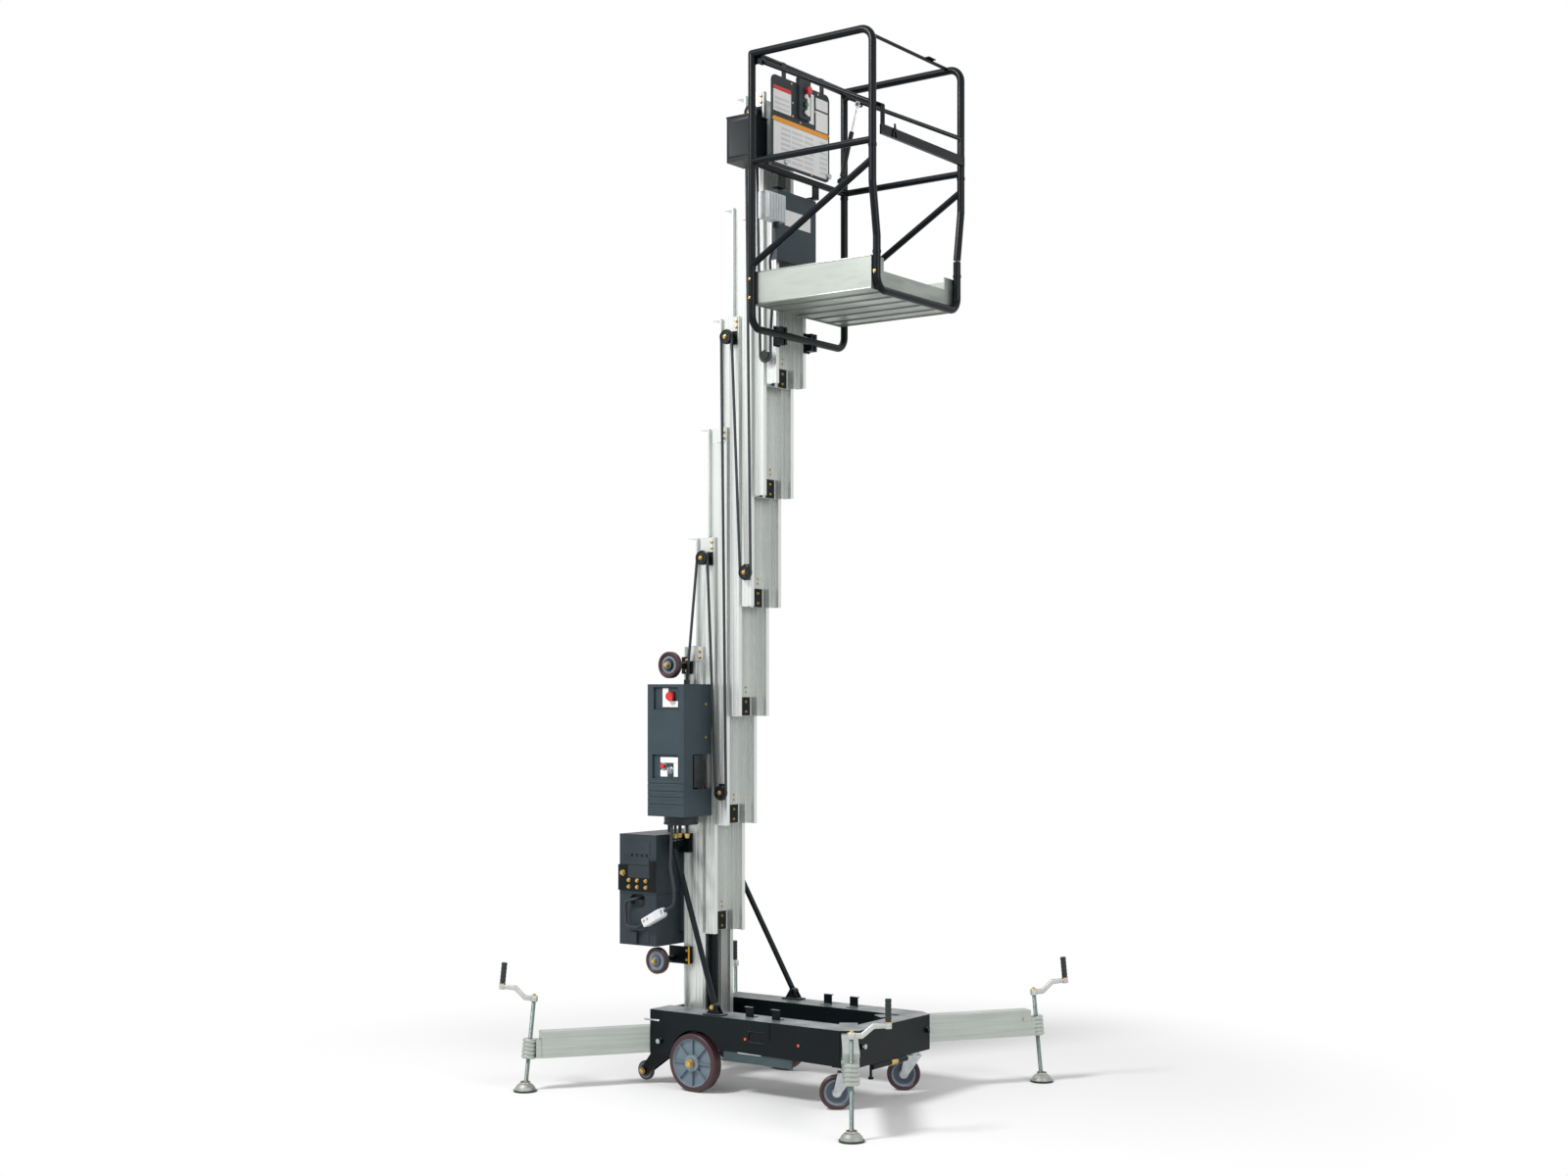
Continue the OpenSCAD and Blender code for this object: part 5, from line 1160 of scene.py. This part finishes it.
upright = Matrix.Translation(plug_at) @ turned(-plug_tilt, "Y")
plug = settle_at(model_plug(), upright, "battery_plug")
finish_piece(plug, "base", pale_plastic)
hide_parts("battery_lead")
dots = [stand(upright @ Vector((x, -0.0188, 0.006)), near_way, 0.7) for x in (-0.052, -0.030)]
fasten("plug_bolts", dots, "base")
lead_width = 0.015
unit_lead = round_corners([(-0.455, -0.278, 1.213), (-0.444, -0.302, 1.010),
                           (-0.418, -0.306, 0.905), plug_end(1, 0.066), plug_end(1, 0.0)], 0.046)
box_lead = round_corners([(-0.649, -0.2553, 0.853), (-0.649, -0.312, 0.853),
                          (-0.712, -0.310, 0.837), (-0.706, -0.308, 0.720),
                          plug_end(-1, 0.052), plug_end(-1, 0.0)], 0.024)
for name, route in (("unit_lead", unit_lead), ("box_lead", box_lead)):
    wire = tube(name, route, lead_width, sides=16)
    finish_piece(wire, "base", cable_rubber, smooth=50)
    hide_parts("battery_lead")
    print(name, round(run_length(route), 3), "m")

# %% [markdown]
# ## Controls and covers
# The power unit's cover has two recesses with white control plates, and the console
# is a dark board with plain plates: one large with an orange band, two on the
# right, one with a red band and a white strip beside the buttons. No plate has
# words on it. Buttons move through the plates, so each plate leaves them clear.

# %% Ground controls
recess_y = -0.318
plates = [block("plate", (low_x, recess_y - 0.0022, low_z), (high_x, recess_y + 0.0004, high_z),
                facing=near_way, rim=0.003, sunk=0.0005)
          for low_x, high_x, low_z, high_z in (
              (-0.476, -0.442, 1.7500, 1.8385), (-0.4418, -0.377, 1.7500, 1.7780),
              (-0.489, -0.377, 1.4935, 1.5190), (-0.4105, -0.377, 1.4290, 1.4930),
              (-0.489, -0.4475, 1.4290, 1.4600))]
finish_piece(joined("ground_plates", plates), "base", white_plate)
square = ring("stop_square", 0.0400, 0.0075, 0.0026, corners=4)
bezel = ring("button_bezel", 0.0165, 0.0126, 0.0026)
masters += [square, bezel]
around = copies(square, "stop_surround",
                [stand((-0.421, recess_y + 0.0004, 1.800), near_way, 0.72)])
finish_piece(around, "base", black_plastic)
around = copies(bezel, "ground_bezels", [stand((x, recess_y + 0.0004, z), near_way)
                                         for x, z in ((-0.471, 1.478), (-0.429, 1.460))])
finish_piece(around, "base", zinc_steel)
print("ground controls")

# %% Cover details
cover_side_y = -0.331
trim = [block("filler", (-0.352, -0.250, 1.378), (-0.3455, -0.175, 1.528), edge=0.002)]
for z in (1.410, 1.445, 1.480):
    trim.append(block("filler", (-0.3470, -0.246, z), (-0.3440, -0.190, z + 0.022), edge=0.001))
finish_piece(joined("side_filler", trim), "base", black_rubber)
edges = []
for z in (1.300, 1.334, 1.361, 1.397):
    edges.append(block("rib", (-0.553, cover_side_y - 0.0012, z - 0.0125),
                       (-0.377, cover_side_y + 0.0010, z - 0.0015), 0.0009))
edges.append(block("rib", (-0.3600, cover_side_y - 0.0006, 1.262),
                   (-0.3560, cover_side_y + 0.0008, 1.846), 0.0006))
finish_piece(joined("cover_ribs", edges), "base", slate_cover)
places = [stand(meets("power_unit_cover", (-0.343, -0.168, z), forward), forward, 1.4)
          for z in (1.764, 1.610)]
fasten("cover_screws", places, "base", head=screw)
frames = []
for low_x, high_x, low_z, high_z in ((-0.521, -0.376, 1.739, 1.843),
                                     (-0.529, -0.376, 1.420, 1.532)):
    for rim_low_x, rim_high_z in ((low_x - 0.003, low_z), (high_x, high_z)):
        frames.append(block("lip", (rim_low_x, cover_side_y - 0.0016, low_z - 0.004),
                            (high_x + 0.003, cover_side_y + 0.0010, rim_high_z), 0.0009))
finish_piece(joined("recess_lips", frames), "base", slate_cover)
print("cover trim")

# %% Fittings under the power unit
hex_nut = disc("hex_nut", 0.0130, 0.0120, rim=0.003, sunk=0.0010, vertices=6, edge=0.0008)
masters.append(hex_nut)
unit_x, unit_y, fitting_circle = -0.450, -0.218, 0.030
fittings = []
for angle in (20, 140, 250):
    x = unit_x + fitting_circle * math.cos(math.radians(angle))
    y = unit_y + fitting_circle * math.sin(math.radians(angle))
    fittings += [stand((x, y, 1.1500)), stand((x, y, 1.1405), size=0.8)]
fasten("unit_fittings", fittings, "base", head=hex_nut)
drum = disc("unit_flange", 0.0800, 0.0100, rim=0.012, sunk=0.002, vertices=48, edge=0.002)
drum = settle_at(drum, Matrix.Translation((unit_x, unit_y, 1.2045)), "unit_flange")
finish_piece(drum, "base", power_unit)
print(len(fittings), "nuts on the fittings")

# %% Console board
board_x, boss_x = 0.0980, 0.1120


def console_plate(name, low_y, high_y, low_z, high_z, face=board_x, thick=0.0012):
    """A thin plain plate on the board's face."""
    return block(name, (face - 0.0006, low_y, low_z), (face + thick, high_y, high_z), 0.0005,
                 forward, 0.0025, 0.0002)


white_plates = joined("console_plates", [
    console_plate("upper_left", -0.239, -0.102, 4.437, 4.534),
    console_plate("large", -0.237, 0.193, 4.206, 4.390),
    console_plate("upper_right", 0.094, 0.190, 4.516, 4.568),
    console_plate("lower_right", 0.094, 0.190, 4.418, 4.508),
    console_plate("strip", 0.040, 0.078, 4.437, 4.575),
    console_plate("boss_strip", 0.0075, 0.0290, 4.462, 4.548, face=boss_x)])
finish_piece(white_plates, "carriage", white_plate)
finish_piece(console_plate("console_orange_band", -0.237, 0.193, 4.391, 4.413), "carriage",
             orange_band)
finish_piece(console_plate("console_red_band", -0.239, -0.102, 4.535, 4.552), "carriage",
             red_band)
grey_rows = []
for row in range(7):
    z = 4.222 + row * 0.023
    for low_y, high_y in ((-0.180, -0.105), (-0.095, -0.010), (0.0, 0.075), (0.125, 0.185)):
        grey_rows.append(console_plate("row", low_y, high_y, z, z + 0.012, thick=0.0015))
for row in range(3):
    z = 4.447 + row * 0.022
    grey_rows.append(console_plate("row", -0.228, -0.114, z, z + 0.011, thick=0.0015))
pale_grey = grained("pale_grey_plate", paint(214, 216, 216), paint(202, 204, 205), 600, 0.35,
                    0.5, 0.03, dust_and_sheen=0.0)
finish_piece(joined("console_grey_fields", grey_rows), "carriage", pale_grey)
bases = ring("button_base", 0.0155, 0.0118, 0.0030)
masters.append(bases)
places = [stand((boss_x - 0.0004, -0.010, z), forward) for z in (4.508, 4.472)]
finish_piece(copies(bases, "console_button_bases", places), "carriage",
             black_plastic)
places = [stand((board_x, y, z), forward, 1.1) for y, z in (
    (-0.090, 4.500), (-0.090, 4.440), (0.086, 4.500), (-0.030, 4.423), (0.060, 4.202),
    (-0.242, 4.400), (0.198, 4.412), (-0.100, 4.585), (0.110, 4.585))]
fasten("console_screws", places, "carriage", head=screw)
knob = disc("knob", 0.0130, 0.0200, rim=0.004, sunk=0.002, vertices=28, edge=0.003)
masters.append(knob)
places = [stand((board_x - 0.001, y, 4.218), forward, size) for y, size in ((0.186, 1.0),
                                                                            (-0.150, 0.8))]
finish_piece(copies(knob, "console_knobs", places), "carriage", zinc_steel)
print("console board dressed")

# %% Mast cover, outlet box and switch box
finish_piece(block("mast_cover_plate", (0.0565, -0.094, 3.949), (0.0582, 0.109, 4.021), 0.0005,
                   forward, 0.003, 0.0002), "carriage", white_plate)
finish_piece(block("mast_cover_edge", (0.0566, -0.1540, 3.7900), (0.0588, -0.1500, 4.0980),
                   0.0009), "carriage", slate_cover)
shell = [block("outlet_shell", (0.0590, -0.3012, 3.9390), (0.1112, -0.1588, 4.0622), 0.004,
               forward, 0.006, 0.001)]
for y in range(-290, -165, 20):
    shell.append(block("outlet_rib", (0.1085, y / 1000 - 0.0042, 3.9470),
                       (0.1152, y / 1000 + 0.0042, 4.0540), 0.0015))
for z in (3.955, 4.000, 4.030):
    shell.append(block("outlet_side", (0.0660, -0.3026, z), (0.1050, -0.3005, z + 0.016), 0.0008))
finish_piece(joined("outlet_shell", shell), "carriage", pale_plastic)
fasten("outlet_screws", [stand((0.0860, -0.3024, z), near_way, 0.6) for z in (3.948, 4.0555)],
       "carriage")
box_lip = [block("lip", (low_x, low_y, 4.4040), (high_x, high_y, 4.4120), 0.0015)
           for low_x, high_x, low_y, high_y in (
               (-0.0975, 0.0425, -0.3325, -0.3260), (-0.0975, 0.0425, -0.2090, -0.2030),
               (-0.0975, -0.0910, -0.3260, -0.2090), (0.0360, 0.0425, -0.3260, -0.2090))]
box_lip.append(block("fold", (-0.0880, -0.3316, 4.225), (0.0330, -0.3296, 4.395), 0.0008,
                     near_way, 0.008, 0.0012))
finish_piece(joined("switch_box_lip", box_lip), "carriage", black_plastic)
print("cover plate, outlet box and switch box")

# %% Tray and cage trim
mast_post_x, gate_post_x = 0.073, 0.715
tray = []
for side in (-1, 1):
    low_y, high_y = sorted((side * 0.3474, side * 0.3492))
    for low_z, high_z in ((3.6868, 3.6915), (3.5470, 3.5530)):
        tray.append(block("toe_edge", (0.0640, low_y, low_z), (0.6960, high_y, high_z), 0.0008))
finish_piece(joined("toe_board_edges", tray), "carriage", bare_aluminium)
places = []
for side in (-1, 1):
    way = (0, side, 0)
    places += [stand((mast_post_x, side * 0.3822, z), way, 0.8) for z in (3.572, 3.655)]
    places.append(stand((gate_post_x, side * 0.3482, 3.620), way))
fasten("cage_bolts", places, "carriage")
caps = ring("tube_band", 0.0190, 0.0168, 0.0120)
masters.append(caps)
bands = []
for side in (-1, 1):
    bands += [stand((x, side * y, z)) for x, y, z in (
        (mast_post_x, 0.365, 4.150), (gate_post_x, 0.365, 4.150),
        (mast_post_x, 0.365, 3.700), (gate_post_x, 0.331, 3.700))]
finish_piece(copies(caps, "post_bands", bands), "carriage", rail_paint)
print("tray and cage trim")

# %% Frame trim
plug_disc = disc("hole_plug", 0.0065, 0.0030, rim=0.002, sunk=0.0008, vertices=24, edge=0.0010)
masters.append(plug_disc)
places = [stand((x, side * 0.3398, 0.266), (0, side, 0))
          for x in (0.017, 0.309) for side in (-1, 1)]
finish_piece(copies(plug_disc, "hole_plugs", places), "base", orange_plug)
rail_in, rail_out = 0.3396, 0.3412
rails = [block("seam", (0.1490, -rail_out, 0.268), (0.1515, -rail_in, 0.3505), 0.0004)]
for side in (-1, 1):
    low_y, high_y = sorted((side * rail_in, side * rail_out))
    rails += [block("slot_rim", (0.030, low_y, z), (0.136, high_y, z + 0.003), 0.0005)
              for z in (0.2515, 0.3015)]
finish_piece(joined("rail_seams", rails), "base", black_paint)
bar = block("rail_bar", (-0.1100, -0.3340, 0.1560), (0.2710, -0.3270, 0.2030), 0.0015, near_way,
            0.004, 0.0005)
bar_paint = painted("bar_paint", paint(58, 72, 76), paint(76, 90, 94), paint(140, 146, 146))
finish_piece(bar, "base", bar_paint)
strip = block("bar_strip", (-0.030, -0.3348, 0.1965), (0.100, -0.3338, 0.2030), 0.0004)
finish_piece(strip, "base", zinc_steel)
yellow_edge = grained("yellow_edge", paint(246, 184, 40), paint(232, 168, 32), 600, 0.35, 0.5,
                      0.04, dust_and_sheen=0.0)
edges, places = [], []
for side in (-1, 1):
    low_y, high_y = sorted((side * 0.1172, side * 0.1248))
    edges.append(block("edge", (-0.4818, low_y, 0.5410), (-0.4780, high_y, 0.6210), 0.0006))
    places += [stand((-0.4900, side * 0.1236, z), (0, side, 0))
               for z in (0.561, 0.604, 1.920, 1.970)]
finish_piece(joined("bracket_edges", edges), "base", yellow_edge)
fasten("bracket_bolts", places, "base")
rod = disc("corner_pin", 0.0045, 0.0900, rim=0.0015, sunk=-0.0008, vertices=20, edge=0.001)
rod = settle_at(rod, stand((-0.5700, -0.3380, 0.3030), forward), "corner_pin")
finish_piece(rod, "base", zinc_steel)
sleeve = disc("pedal_sleeve", 0.0158, 0.0500, rim=0.002, sunk=0.0006, edge=0.0015)
sleeve = settle_at(sleeve, stand((0.583, -0.025, 0.176), far_way), "pedal_sleeve")
finish_piece(sleeve, "brake_pedal", gold_zinc)
print("frame trim")

# %% [markdown]
# ## Clean up
# The masters have served, so they go.

# %% Clean up and end
for master in masters:
    bpy.data.objects.remove(master)
scene.view_settings.view_transform = "Standard"
